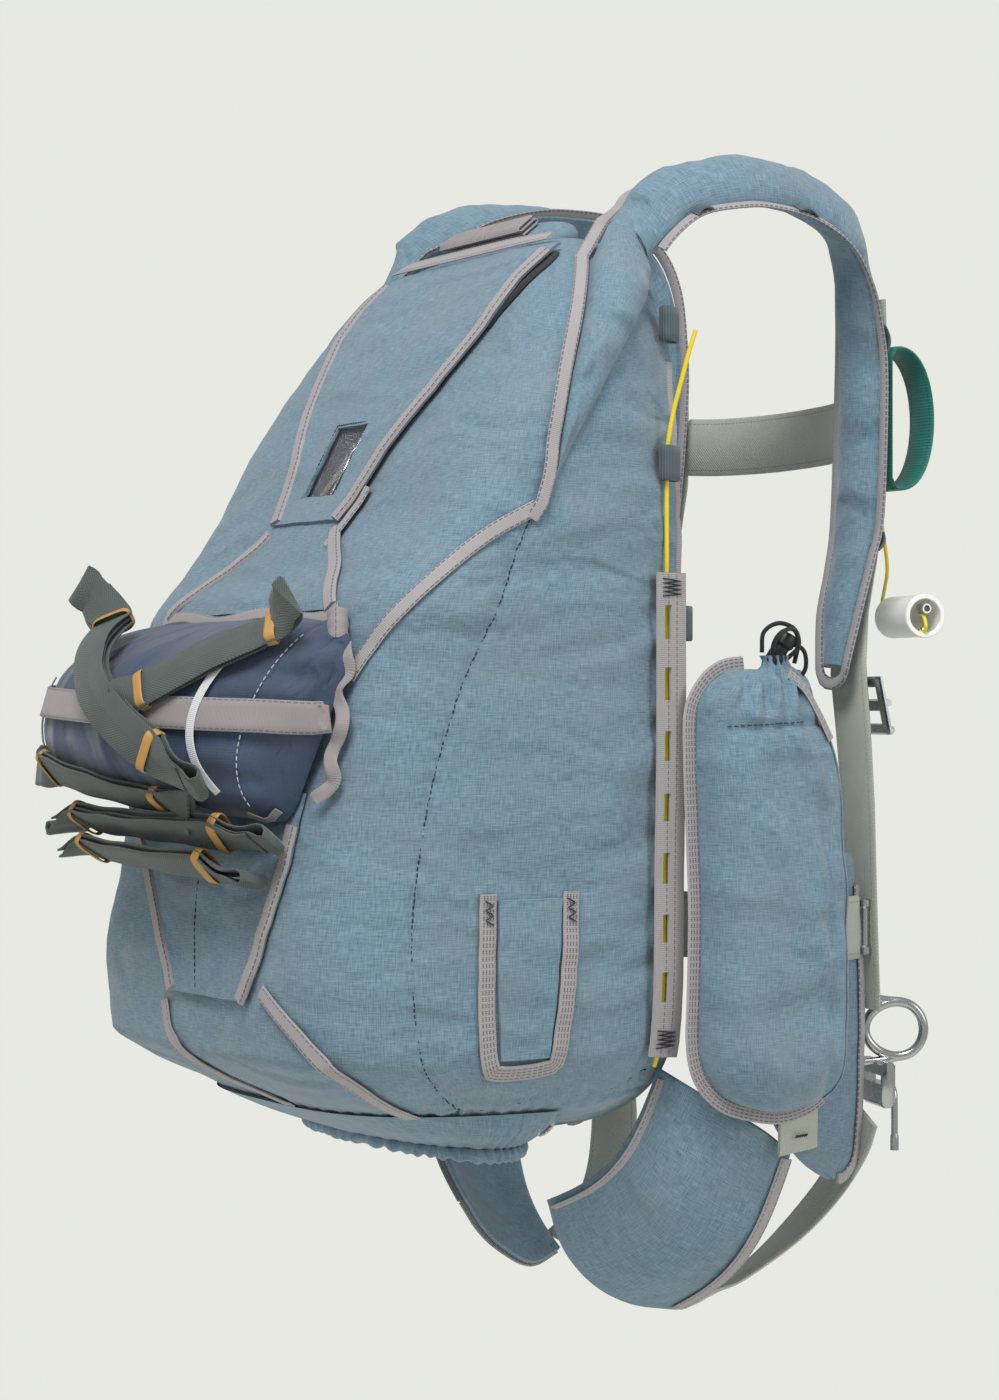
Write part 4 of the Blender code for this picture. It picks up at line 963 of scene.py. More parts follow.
    def on_rear(self, x: float, z: float, height: float) -> Vector:
        """Return the point of the rear at this side distance and height, raised off the folded cloth."""
        return self.lifted(self.rear_point(x, z), height)

    def on_side(self, y: float, z: float, height: float) -> Vector:
        """Return the point of the right side, raised off the folded cloth."""
        return self.lifted(self.side_point(y, z), height)

    def tape(self, name: str, points: Iterable[Sequence[float]], lift: float, width: float, finish: Finish,
             side: Side = Side.RIGHT, thickness: float = TAPE) -> bpy.types.Object:
        """Lay a tape along a line of points.

        Args:
            name: The piece's name.
            points: The line, near the surface.
            lift: The clearance under it.
            width: Its width.
            finish: Its finish.
            side: The side that it is on.
            thickness: Its thickness.

        Returns:
            The object.
        """
        line = [self.seated(point) for point in smooth_path([self.seated(Vector(p)) for p in points], 4)]
        centres = [mirror(self.lifted(point, lift), side) for point in line]
        outs = [mirror(self.normal(point), side) for point in line]
        return band(name, centres, outs, width, thickness, finish)


@dataclass
class ContainerShell:
    """The container's cloth: the filled body with its seams, the gathered hem and the grommet under it."""
    form: ContainerForm
    around: int = 220
    across: int = 40
    step: float = 4.5

    def ring(self, height: float) -> list[Vector]:
        """Return the points round the container at this height.

        Args:
            height: The height.

        Returns:
            As many points at every height.
        """
        form = self.form
        half_width, depth, front, squareness = form.section(height)
        corner = 2 ** (-1 / squareness)
        side_line = [form.side_point(front + (-depth * corner - front) * s / 60, height) for s in range(61)]
        gap = half_width * corner - side_line[-1].x
        rear_line = []
        for step in range(1, 100):
            share = 1 - step / 50
            seat = form.rear_point(half_width * corner * share, height)
            rear_line.append(seat - Vector((gap * share, 0, 0)))
        fine = side_line + rear_line + [mirror(point, Side.LEFT) for point in reversed(side_line)]
        rear = [form.lifted(point, 0.0) for point in divide(fine, self.around)]
        rear[0], rear[-1] = side_line[0], mirror(side_line[0], Side.LEFT)
        ring = list(rear)
        for step in range(1, self.across):
            share = step / self.across
            crown = form.crown * (1 - (2 * share - 1) ** 2)
            place = rear[-1].lerp(rear[0], share) + Vector((0, crown, 0))
            quilt = 2.2 * abs(math.sin(math.pi * (height + 8) / 74)) ** 0.5 - 2.0
            place.y += quilt * min(1.0, 6 * min(share, 1 - share)) + crumple(place, 34, 0.8, 3)
            ring.append(place)
        return ring

    def build(self) -> None:
        """Make the body, the hem and the grommet."""
        top, bottom = self.form.rows[0][0], self.form.rows[-1][0]
        count = round((top - bottom) / self.step)
        rings = [self.ring(top + (bottom - top) * (row / count)) for row in range(count + 1)]
        fit(hull("container_shell", rings, CANVAS, 70), "container")
        self.sew_seams_and_shade_lines()
        self.hem()

    def sew_seams_and_shade_lines(self) -> None:
        """Sew the dark thread that shows in each seam, and a dark line at the foot of each strap's arm edge
        as painted shade.
        """
        # The foot of each strap's arm edge: the dark line sewn along it is painted shade where the pad meets
        # the container.
        arm = ((190, -134, -197), (188, -109, -160), (187, -91, -131), (183, -75, -108), (176, -54, -80))
        lines = list(self.form.seams)
        lines.extend([mirror(self.form.seated(point), side) for point in smooth_path(arm, 3)]
                     for side in Side)
        for number, line in enumerate(lines):
            raised = [self.form.lifted(point, 0.5) for point in line]
            fit(stitches(f"seam_thread_{number}", raised, DARK_THREAD, 3.6, 0.5, 0.5))

    def hem(self) -> None:
        """Gather the elastic hem under the container, and set the grommet beside it."""
        count, sides = 400, 14
        rings = []
        for number in range(count):
            angle = 2 * math.pi * number / count
            centre = Vector((118 * math.cos(angle), -112 + 46 * math.sin(angle),
                             -605.4 - 3 * math.cos(angle) ** 2))
            out = Vector((math.cos(angle), math.sin(angle), 0))
            gather = 0.9 * math.sin(angle * 46 + 2 * math.sin(angle * 7)) + crumple(centre, 9, 1.2, 5)
            rings.append(circle(centre, out, Vector((0, 0, 1)), 5.0 + gather, sides))
        fit(hull("hem_gathers", rings, CANVAS, 70, True), "gathered_hem")
        self.skirt()
        profile = ((3.2, 0.0), (6.4, 0.0), (7.4, 0.8), (6.4, 1.8), (3.6, 2.2), (3.2, 1.2))
        place = Vector((128.4, -86.4, -591.2))
        fit(turned("hem_grommet", profile, STEEL, place, Vector((0.68, 0.31, -0.66)), 28, True))

    def skirt(self) -> None:
        """Gather the container's lower cloth onto the elastic hem."""
        rows = []
        for row in range(9):
            share = row / 8
            line = []
            for number in range(241):
                angle = 2 * math.pi * number / 240
                way = Vector((math.cos(angle), math.sin(angle), 0))
                foot = Vector((120 * way.x, -112 + 48 * way.y, -603.5))
                seat = self.form.seated(Vector((150 * way.x, -118 + 74 * way.y, -578)))
                place = seat.lerp(foot, share) + way * (5 * math.sin(math.pi * share))
                ripple = share * 1.5 * math.sin(angle * 46 + 2 * math.sin(angle * 7))
                ripple += crumple(seat, 22, 2.0 * share, 71)
                line.append((place + way * (ripple - 0.6), place + way * (ripple + 0.8)))
            rows.append(line)
        skirt = fit(sheet("hem_skirt", rows, CANVAS, (), 80))


@dataclass
class Collar:
    """The collar between the shoulder straps, its tape and its folded pull tab."""
    form: ContainerForm
    profile: tuple[Pair, ...] = ((-56, -7.5), (-36, -7.5), (-20, -6), (-16, 4), (-20, 12), (-28, 14),
                                 (-40, 11), (-52, 1))

    def build(self) -> None:
        """Make the padded roll, its tape and the tab."""
        outline = smooth_path([(0, y, z) for y, z in self.profile + self.profile[:1]], 3)[:-1]
        rings = []
        for step in range(-40, 41):
            share = step / 40
            shrink = 1 - 0.45 * abs(share) ** 6
            dip = 3 * (1 - share * share)
            ring = []
            for point in outline:
                place = Vector((74 * share, -36 + (point.y + 36) * shrink,
                                -7.5 + (point.z + 7.5) * (shrink - dip / 30)))
                ring.append(place + Vector((0, 0, crumple(place, 16, 0.9, 2))))
            rings.append(ring)
        fit(hull("collar_roll", rings, CANVAS), "collar_panel")
        line = [self.form.rear_point(x, -13) for x in range(-98, 99, 4)]
        outs = [self.form.normal(point) for point in line]
        centres = [point + out * 6.2 for point, out in zip(line, outs)]
        fit(band("collar_binding", centres, outs, TAPE_WIDTH, TAPE, BINDING), "collar_tape")
        self.tab()

    def tab(self) -> None:
        """Fold the pull tab back and forth."""
        tilt = Matrix.Rotation(math.radians(-50), 3, "X")
        path = []
        for number in range(3):
            height = 1.0 + number * 3.0
            run = [Vector((0, -height, along)) for along in range(0, 15, 2)]
            path.extend(run if number % 2 == 0 else run[::-1])
            if number < 2:
                end = 16.0 if number % 2 == 0 else -1.6
                path.append(Vector((0, -height - 1.5, end)))
        start = Vector((0, -53.6, -0.5))
        centres = [start + tilt @ point for point in path]
        outs = [Vector((1, 0, 0)).cross(direction).normalized() for direction in tangents_of(centres)]
        centres = [centre - out for centre, out in zip(centres, outs)]
        fit(band("collar_pull_tab", centres, outs, 104, 1.9, STRIPE), "collar_grip")


@dataclass
class ShoulderStrap:
    """A padded shoulder strap, with the tape round its edges."""
    form: ContainerForm
    side: Side = Side.RIGHT
    # neck edge, arm edge, thickness: on the container
    yoke: tuple[tuple, ...] = (
        ((189, -131, -190), (190, -128, -192), 3), ((186, -124, -151), (188, -109, -160), 5),
        ((181, -113, -113), (187, -91, -131), 9), ((172, -101, -85), (183, -75, -108), 12),
        ((160, -88, -58), (176, -54, -80), 15), ((143, -75, -38), (160, -30, -58), 17),
        ((128, -64, -24), (143, -10, -42), 19))
    # neck edge, arm edge, thickness, rise of the crown: over the shoulder
    over: tuple[tuple, ...] = (
        ((107, -32, 7), (152, -14, -30), 22, 12), ((90, -8, 18), (158, -3, -11), 26, 15),
        ((86, 6, 30), (163, 16, 5), 28, 19), ((90, 43, 43), (165, 45, 12), 29, 21),
        ((92, 78, 49), (165, 72, 14), 29, 21))
    # the same, down the chest
    chest: tuple[tuple, ...] = (
        ((92, 120, 47), (165, 108, 9), 28, 19), ((94, 160, 31), (165, 138, -6), 25, 15),
        ((92, 178, 2), (163, 157, -30), 20, 8), ((89, 183, -40), (158, 170, -58), 19, 5),
        ((88, 183, -90), (156, 176, -95), 17, 4), ((92, 176, -185), (157, 172, -185), 16, 4),
        ((98, 166, -222), (158, 163, -218), 14, 4), ((104, 154, -256), (160, 152, -248), 12, 4),
        ((116, 144, -292), (159, 140, -290), 9, 3))
    neck_inset: float = 11.8
    arm_inset: float = 9.8
    fine: int = 16

    def build(self) -> None:
        """Make the strap with its tape, and the small tabs on its arm edge."""
        rings, neck_tape, arm_tape = self.stations()
        side = self.side
        pad = hull(f"strap_pad_{side.label}", [mirrored(ring, side) for ring in rings], CANVAS)
        fit(pad, f"shoulder_strap_{side.label}")
        places = neck_tape + self.turn(neck_tape[-1], arm_tape[-1]) + arm_tape[:3:-1]
        centres = [mirror(point, side) for point, _ in places]
        outs = [mirror(out, side) for _, out in places]
        tape = band(f"strap_binding_{side.label}", centres, outs, TAPE_WIDTH - 2, 2.4, BINDING)
        fit(tape, f"strap_tape_{side.label}")
        self.tabs(arm_tape)

    @staticmethod
    def turn(neck: tuple[Vector, Vector], arm: tuple[Vector, Vector]) -> list[tuple[Vector, Vector]]:
        """Return the tape's places round the strap's lower end.

        Args:
            neck: The last place of the tape on the neck edge.
            arm: The last place on the arm edge.

        Returns:
            Places, each with its outward direction.
        """
        drop = Vector((0, 0, -1))
        shares = ((0.05, 4.5), (0.12, 8), (0.3, 11), (0.5, 12), (0.7, 11), (0.88, 8), (0.95, 4.5))
        return [(neck[0].lerp(arm[0], share) + drop * depth, neck[1]) for share, depth in shares]

    def stations(self) -> tuple[list[list[Vector]], list[tuple[Vector, Vector]], list[tuple[Vector, Vector]]]:
        """Return the strap's rings and the tape's places along its two edges.

        Returns:
            The rings, and the places with their outward directions on the neck and arm edges.
        """
        form = self.form
        rings, neck_tape, arm_tape = [], [], []
        tip = form.seated(Vector((190, -136, -201)))
        neck_tape.append((form.lifted(tip, LAP + 1.6), form.normal(tip)))
        for neck, arm, thickness in dense_rows(self.yoke, 8):
            neck, arm = Vector(neck), Vector(arm)
            width = (arm - neck).length
            seat = form.seated(neck.lerp(arm, min(0.5, 0.5 * TAPE_WIDTH / width)))
            neck_tape.append((form.lifted(seat, LAP + 0.6 + 1.0 * min(1.0, 6 / width)), form.normal(seat)))
            inset = min(self.neck_inset / width, 0.8)
            outer, inner = [], []
            for step in range(self.fine):
                share = step / (self.fine - 1)
                seat = form.seated(neck.lerp(arm, inset + (1 - inset) * share))
                crown = max(math.sin(math.pi * share), 0.0) ** 0.6
                pucker = crumple(seat, 20, 1.8, 4)
                outer.append(form.lifted(seat, LAP + 1.0 + max(thickness + pucker - 2, 1) * crown))
                inner.append(form.lifted(seat, LAP - 0.4))
            rings.append(outer + inner[::-1])
        rows = dense_rows(self.over + self.chest, 7)
        middles = [(Vector(row[0]) + Vector(row[1])) / 2 for row in rows]
        for (neck, arm, thickness, rise), direction in zip(rows, tangents_of(middles)):
            neck, arm = Vector(neck), Vector(arm)
            across = (arm - neck).normalized()
            out = across.cross(direction).normalized()
            start = neck + across * self.neck_inset
            end = arm - across * self.arm_inset
            outer, inner = [], []
            for step in range(self.fine):
                share = step / (self.fine - 1)
                bow = 4 * share * (1 - share)
                base = start.lerp(end, share)
                fold = crumple(Vector((base.x * 0.35, base.y, base.z)), 13, 2.4, 6) * bow ** 0.5
                outer.append(base + out * (1.5 + rise * bow ** 0.8 + fold))
                inner.append(base - out * ((thickness - rise) * (0.25 + 0.75 * bow)
                                           + crumple(base, 16, 1.0, 8) * bow))
            rings.append(outer + inner[::-1])
            neck_tape.append((neck + across * (TAPE_WIDTH / 2) - out * 1.2, out))
            arm_tape.append((arm - across * 4.5 - out * 1.2, out))
        return rings, neck_tape, arm_tape

    def tabs(self, arm_tape: list[tuple[Vector, Vector]]) -> None:
        """Sew the small webbing loops on the arm edge.

        Args:
            arm_tape: The places of the tape on the arm edge.
        """
        for number, (index, length) in enumerate(((13, 26), (32, 22), (56, 30), (72, 24)), 1):
            part = arm_tape[index:index + max(3, round(length / 6))]
            line = divide([point for point, _ in part], 10)
            bulge = [point + part[0][1] * (2.2 + 2.4 * math.sin(math.pi * i / 10))
                     for i, point in enumerate(line)]
            tab = band(f"strap_tab_{number}_{self.side.label}", [mirror(p, self.side) for p in bulge],
                       [mirror(part[0][1], self.side)] * 11, 9, 1.6, KEEPER_WEB)
            fit(tab)


@dataclass
class LeftStrap(ShoulderStrap):
    """The left strap, which rides higher over the shoulder."""
    side: Side = Side.LEFT
    yoke: tuple[tuple, ...] = (
        ((189, -131, -190), (190, -128, -192), 3), ((186, -124, -151), (188, -109, -160), 5),
        ((181, -113, -113), (187, -91, -131), 11), ((172, -101, -85), (184, -75, -108), 18),
        ((160, -88, -58), (178, -56, -80), 26), ((143, -75, -38), (164, -36, -58), 34),
        ((128, -64, -24), (150, -18, -42), 40))
    over: tuple[tuple, ...] = (
        ((108, -34, 12), (165, -16, -10), 36, 26), ((92, -8, 26), (172, 0, 6), 36, 26),
        ((88, 14, 36), (173, 20, 16), 33, 24), ((90, 46, 45), (170, 48, 19), 30, 21),
        ((92, 78, 49), (166, 74, 16), 29, 20))


@dataclass
class RearFlaps:
    """The closing flaps on the rear, with their tapes, the window and the pin behind it."""
    form: ContainerForm
    top_rows: tuple[Pair, ...] = ((-17, 110), (-56, 108), (-90, 97), (-120, 83), (-152, 65), (-186, 51),
                                  (-198, 45))
    window: tuple[float, float, float] = (21, -132, -180)       # half width, top, bottom
    mid_rows: tuple[Pair, ...] = ((-188, 42), (-204, 50), (-230, 84), (-258, 121))
    # height, left, right
    bottom_rows: tuple[Triple, ...] = ((-372, -142, 126), (-416, -90, 120), (-448, -58, 113),
                                       (-479, -31, 103), (-503, -16, 85))
    v_tape: tuple[Triple, ...] = ((190.5, -133, -193.5), (185, -171, -215), (177, -209, -247),
                                  (161, -232, -277), (146, -240, -300))
    lower_right: tuple[Triple, ...] = ((106, -282, -495), (140, -273, -522), (152, -244, -550),
                                       (130, -196, -573), (103, -150, -589))
    lower_left: tuple[Triple, ...] = ((-28, -283, -511), (-21, -281, -531), (-2, -276, -545),
                                      (16, -250, -562), (38, -218, -579))
    top_lift: float = 3.3
    low_lift: float = 1.8

    def build(self) -> None:
        """Make the flaps from the top down."""
        self.top_flap()
        self.mid_panel()
        self.bottom_flap()
        for side in Side:
            fit(self.form.tape(f"v_binding_{side.label}", self.v_tape, LAP, 9.5, BINDING, side),
                f"v_tape_{side.label}")
        fit(self.form.tape("lower_binding_R", self.lower_right, LAP + 0.6, TAPE_WIDTH, BINDING),
            "lower_tape_R")
        fit(self.form.tape("lower_binding_L", self.lower_left, LAP + 0.3, TAPE_WIDTH, BINDING))

    def panel(self, name: str, heights: Sequence[float], edges: Callable[[float], Pair], columns: int,
              lift: float, billow: float, seed: float, holes: Iterable[tuple[int, int]] = (),
              places: Optional[Callable[[float, float], list[float]]] = None) -> bpy.types.Object:
        """Lay a sheet on the rear.

        Args:
            name: The piece's name.
            heights: Its rows.
            edges: The two sides at a height.
            columns: How many columns.
            lift: The clearance under it.
            billow: How far it crumples outward.
            seed: The crumples' pattern.
            holes: Cells that are cut out.
            places: The columns' places from the two sides, or none for even ones.

        Returns:
            The object.
        """
        rows = []
        for height in heights:
            left, right = edges(height)
            xs = places(left, right) if places else [left + (right - left) * s / columns
                                                     for s in range(columns + 1)]
            seats = [self.form.rear_point(x, height) for x in xs]
            line = []
            for x, seat in zip(xs, seats):
                inset = min(x - left, right - x) / 40
                wave = abs(crumple(Vector((x * 0.6, 0, height)), 26, billow, seed)) * min(1.0, inset)
                line.append((self.form.lifted(seat, lift), self.form.lifted(seat, lift + CLOTH + wave)))
            rows.append(line)
        return sheet(name, rows, CANVAS, holes, 60)

    def top_flap(self) -> None:
        """Make the top flap with its window, pane, pin and tapes."""
        half, top, bottom = self.window
        heights = self.heights(-17, -198, 4.5, (top, bottom))
        first, last = heights.index(top), heights.index(bottom)

        def edges(height: float) -> Pair:
            """Return the flap's two sides."""
            reach = table_value(self.top_rows, 1, height)
            return -reach, reach

        def places(left: float, right: float) -> list[float]:
            """Return the columns, with two of them on the window's sides."""
            outside = [left + (-half - left) * s / 9 for s in range(9)]
            return outside + [-half + 2 * half * s / 8 for s in range(9)] + [-x for x in reversed(outside)]

        holes = [(row, column) for row in range(first, last) for column in range(9, 17)]
        flap = self.panel("top_closing_flap", heights, edges, 26, self.top_lift, 1.6, 11, holes, places)
        fit(flap, "top_flap")
        self.pane()
        for side in Side:
            fit(self.edge(f"top_binding_{side.label}", self.top_rows, side, self.top_lift + CLOTH + 0.4, -21),
                f"top_flap_tape_{side.label}")
        self.pin()
        self.corner_gap()

    def pane(self) -> None:
        """Set the clear pane in the window, over its grey lining."""
        half, top, bottom = self.window
        film, back = [], []
        for row in range(13):
            z = top - 0.5 + (bottom - top + 1) * row / 12
            xs = [-half + 0.5 + (2 * half - 1) * c / 10 for c in range(11)]
            film.append([(self.form.on_rear(x, z, 4.0),
                          self.form.on_rear(x, z, 4.5 + crumple(Vector((x, 0, z)), 12, 0.4))) for x in xs])
            back.append([(self.form.on_rear(x, z, 0.7), self.form.on_rear(x, z, 1.1)) for x in xs])
        fit(sheet("window_film", film, FILM), "window_pane")
        lining = fit(sheet("window_backing", back, WINDOW_LINING))

    def pin(self) -> None:
        """Lay the curved closing pin and its pale tongue in the window, and sew round the window."""
        line = [(15, -137), (14, -146), (12, -152), (13, -160), (11, -168), (10, -178)]
        points = smooth_path([self.form.on_rear(x, z, 2.7) for x, z in line], 1.6)
        radii = [1.1 + 0.8 * math.exp(-((i - 10) / 2) ** 2) + 0.8 * math.exp(-((i - 19) / 2) ** 2)
                 for i in range(len(points))]
        fit(rod("closing_pin", points, radii, STEEL, 12))
        tongue = smooth_path([(8, 0, -142), (5, 0, -156), (0, 0, -168), (-4, 0, -178)], 3)
        centres = [self.form.on_rear(p.x, p.z, 1.3) for p in tongue]
        outs = [self.form.normal(point) for point in centres]
        fit(band("pin_tongue", centres, outs, 7, 0.7, STRIPE))
        frame = ((20.5, -130.4), (0, -130.4), (-22.6, -130.4), (-22.6, -156), (-22.6, -181.6))
        raised = [self.form.on_rear(x, z, self.top_lift + CLOTH + 0.5) for x, z in frame]
        fit(stitches("window_stitches", raised, DARK_THREAD, 2.6, 0.7, 0.45))

    def corner_gap(self) -> None:
        """Lay a near-black cloth strip beside each of the top flap's upper corners: painted shade of the gap
        where they stand off the container.
        """
        for side in Side:
            line = smooth_path([(107, 0, -20), (110, 0, -30), (109, 0, -45), (106, 0, -60), (103, 0, -72)], 3)
            seats = [self.form.rear_point(point.x, point.z) for point in line]
            centres = [mirror(self.form.lifted(seat, 0.6), side) for seat in seats]
            outs = [mirror(self.form.normal(seat), side) for seat in seats]
            shares = [1 - 0.85 * (i / (len(line) - 1)) ** 1.5 for i in range(len(line))]
            # A dark strip on the container beside each corner: painted shade.
            fit(band(f"corner_gap_shade_{side.label}", centres, outs, 15, 0.8, PAINTED_GAP_SHADE, shares=shares))

    def mid_panel(self) -> None:
        """Make the panel under the top flap, with its tapes and those round the bag."""
        heights = self.heights(-188, -258, 4.0)

        def edges(height: float) -> Pair:
            """Return the panel's two sides."""
            reach = table_value(self.mid_rows, 1, height)
            return -reach, reach

        panel = self.panel("middle_panel", heights, edges, 30, LAP, 1.2, 13)
        fit(panel, "mid_panel")
        for side in Side:
            tape = self.edge(f"middle_binding_{side.label}", self.mid_rows, side, LAP + CLOTH + 0.7, -203)
            fit(tape, f"mid_tape_{side.label}")
        tapes = {"bag_top_binding": [(x, -261 + 2.5 * math.sin(x * 0.05)) for x in range(-120, 121, 6)],
                 "bag_side_binding": [(118, -256), (128, -268), (138, -282), (146, -296)],
                 "flap_under_binding": [(60, -176), (56, -190), (50, -204), (44, -214)]}
        for name, points in tapes.items():
            line = smooth_path([self.form.rear_point(x, z) for x, z in points], 4)
            centres = [self.form.lifted(point, LAP + 1.8) for point in line]
            fit(band(name, centres, [self.form.normal(point) for point in line], 9, TAPE, BINDING))

    def bottom_flap(self) -> None:
        """Make the flap under the bag, with its tapes and its middle seam."""
        heights = self.heights(-372, -503, 4.5)

        def edges(height: float) -> Pair:
            """Return the flap's two sides."""
            return table_value(self.bottom_rows, 1, height), table_value(self.bottom_rows, 2, height)

        flap = self.panel("bottom_closing_flap", heights, edges, 36, self.low_lift, 2.2, 17)
        fit(flap, "bottom_flap")
        right = [(row[0], row[2]) for row in self.bottom_rows]
        left = [(row[0], -row[1]) for row in self.bottom_rows]
        lift = self.low_lift + CLOTH + 0.4
        fit(self.edge("bottom_binding_R", right, Side.RIGHT, lift, -392), "bottom_tape_R")
        fit(self.edge("bottom_binding_L", left, Side.LEFT, lift, -392), "bottom_tape_L")
        seam = [self.form.on_rear(x, z, self.low_lift + CLOTH + 0.8)
                for x, z in ((2, -392), (6, -420), (12, -455), (20, -480), (24, -500))]
        fit(stitches("flap_seam_thread", smooth_path(seam, 3), DARK_THREAD))

    def edge(self, name: str, rows: Sequence[Sequence[float]], side: Side, lift: float,
             start: float) -> bpy.types.Object:
        """Sew a tape along a sheet's edge, down to its end.

        Args:
            name: The piece's name.
            rows: The edge, as heights and distances from the middle.
            side: The side that it is on.
            lift: The height of the tape's outer face.
            start: The height at which it starts.

        Returns:
            The object.
        """
        heights = self.heights(start, rows[-1][0] + 1, 4.0)
        line = [self.form.rear_point(table_value(rows, 1, height) - TAPE_WIDTH / 2 + 1, height)
                for height in heights]
        line = mirrored(line, side)
        centres = [self.form.lifted(point, lift - CLOTH - 0.7) for point in line]
        return band(name, centres, [self.form.normal(point) for point in line], TAPE_WIDTH,
                    TAPE + CLOTH + 0.9, BINDING)

    @staticmethod
    def heights(top: float, bottom: float, step: float, extra: Sequence[float] = ()) -> list[float]:
        """Return heights from the top down, with the extra ones put in their place.

        Args:
            top: The first height.
            bottom: The last height.
            step: The step, about.
            extra: Heights that must be among them.

        Returns:
            The heights.
        """
        count = max(2, round((top - bottom) / step))
        even = [top + (bottom - top) * s / count for s in range(count + 1)]
        kept = [value for value in even if all(abs(value - other) > step * 0.45 for other in extra)]
        return sorted(set(kept + list(extra) + [top, bottom]), reverse=True)


@dataclass
class SidePanel:
    """What is sewn on the right side: the patch pocket, slotted strip, keepers and locking cable."""
    form: ContainerForm
    pocket_rows: tuple[Triple, ...] = ((-438, -160, -114), (-480, -160, -117), (-520, -157, -119),
                                       (-538, -155, -120))
    pocket_tape: tuple[Pair, ...] = ((-434, -167.5), (-490, -167.5), (-538, -163), (-546, -154),
                                     (-545.5, -121), (-537, -112.5), (-490, -109), (-434, -106.5))
    slots: tuple[Pair, ...] = ((-253, -275), (-293, -314), (-334, -353), (-374, -392), (-412, -432),
                               (-452, -470), (-489, -508))
    strip: tuple[float, float, float, float] = (-40, -20, -232, -542)     # rear, front, top, bottom
    slot_edge: float = -33.0
    keepers: tuple[Triple, ...] = ((-68, -12, 3.4), (-161, -25, 1.4), (-264, -6, 0.6))

    def build(self) -> None:
        """Make each of them."""
        self.patch_pocket()
        self.slotted_strip()
        self.edge_piping()
        self.keeper_loops()
        recoat(FRAME["nodes"]["locking_cable"], YELLOW_CABLE)

    def patch_pocket(self) -> None:
        """Make the flat pocket and its tape with the bar tacks."""
        rows = []
        for row in range(27):
            height = -438 - 100 * row / 26
            rear, front = (table_value(self.pocket_rows, column, height) for column in (1, 2))
            shares = [s / 12 for s in range(13)]
            seats = [self.form.side_point(rear + (front - rear) * s, height) for s in shares]
            depth = row / 26
            puff = [CLOTH + 2.5 * math.sin(math.pi * s) * (1 - 0.6 * depth) + abs(crumple(seat, 14, 0.8, 21))
                    for s, seat in zip(shares, seats)]
            rows.append([(self.form.lifted(seat, LAP), self.form.lifted(seat, LAP + rise))
                         for seat, rise in zip(seats, puff)])
        pocket = fit(sheet("side_patch_pocket", rows, CANVAS, (), 60), "patch_pocket")
        line = [self.form.side_point(y, z) for z, y in self.pocket_tape]
        tape = self.form.tape("patch_pocket_binding", line, LAP, 12, POCKET_BINDING, thickness=2.0)
        fit(tape, "patch_pocket_tape")
        for number, y in enumerate((-167.5, -107.5), 1):
            self.bar_tack(f"pocket_tack_{number}", [(y - 3, -438), (y + 3, -441), (y - 3, -444),
                                                    (y + 3, -447), (y - 3, -450), (y + 3, -453)], LAP + 3.1)

    def bar_tack(self, name: str, places: Sequence[Pair], lift: float) -> None:
        """Sew a dense zigzag of dark thread."""
        points = [self.form.on_side(y, z, lift) for y, z in places]
        fit(rod(name, divide(points, len(points) * 3), 0.5, DARK_THREAD, 5))

    def slotted_strip(self) -> None:
        """Make the edge strip with its row of slots, over the cable."""
        rear, front, top, bottom = self.strip
        heights = [top]
        holes = []
        for upper, lower in self.slots:
            heights.extend((upper, (upper + lower) / 2, lower))
            holes.extend(((len(heights) - 3, 2), (len(heights) - 2, 2)))
        heights.extend((-518, -526, -534, bottom))
        ys = (rear, rear + 3, self.slot_edge - 2.4, self.slot_edge + 2.4, front - 4, front)
        rows = []
        for z in heights:
            line = []
            for y in ys:
                stand = 3.6 + 8.0 * (y - rear) / (front - rear)
                seat = self.form.side_point(y, z)
                base = seat + self.form.normal(seat) * stand
                line.append((base, base + self.form.normal(seat) * (1.6 + 0.3 * noise.noise(seat / 9))))
            rows.append(line)
        fit(sheet("slotted_edge_strip", rows, BINDING, holes, 50), "side_strip_R")
        for name, top in (("strip_tack_top", -236), ("strip_tack_bottom", -526)):
            points = [(-37 + 13 * (i % 2), top - 1.4 * i) for i in range(9)]
            seats = [self.form.side_point(y, z) for y, z in points]
            raised = [seat + self.form.normal(seat) * (5.7 + 8 * (seat.y - rear) / 20) for seat in seats]
            fit(rod(name, divide(raised, 24), 0.5, DARK_THREAD, 5))

    def edge_piping(self) -> None:
        """Sew the narrow pale piping on the front edge of the side panel."""
        line = [self.form.side_point(-3.5, z) for z in range(-92, -238, -6)]
        centres = [self.form.lifted(point, 0.6) for point in line]
        outs = [(self.form.normal(point) + Vector((0.6, -0.4, 0))).normalized() for point in line]
        fit(band("edge_piping_R", centres, outs, 5, 1.4, BINDING))

    def keeper_loops(self) -> None:
        """Make the webbing loops that guide the cable."""
        for number, (height, edge, lift) in enumerate(self.keepers, 1):
            seat = self.form.side_point(edge, height)
            out = self.form.normal(seat)
            out.z = 0
            out.normalize()
            forward = Vector((0, 0, 1)).cross(out)
            forward = forward if forward.y > 0 else -forward
            middle = seat + out * (lift + 4)
            centres, outs = [], []
            for step in range(48):
                angle = 2 * math.pi * step / 48
                shift = 6.5 if math.cos(angle) > 0 else -4.5
                way = forward * math.cos(angle) + out * math.sin(angle)
                centres.append(middle + forward * shift + way * 3.0)
                outs.append(way)
            fit(band(f"keeper_{number}", centres, outs, 23, 1.8, KEEPER_WEB, closed=True),
                f"keeper_loop_{number}")


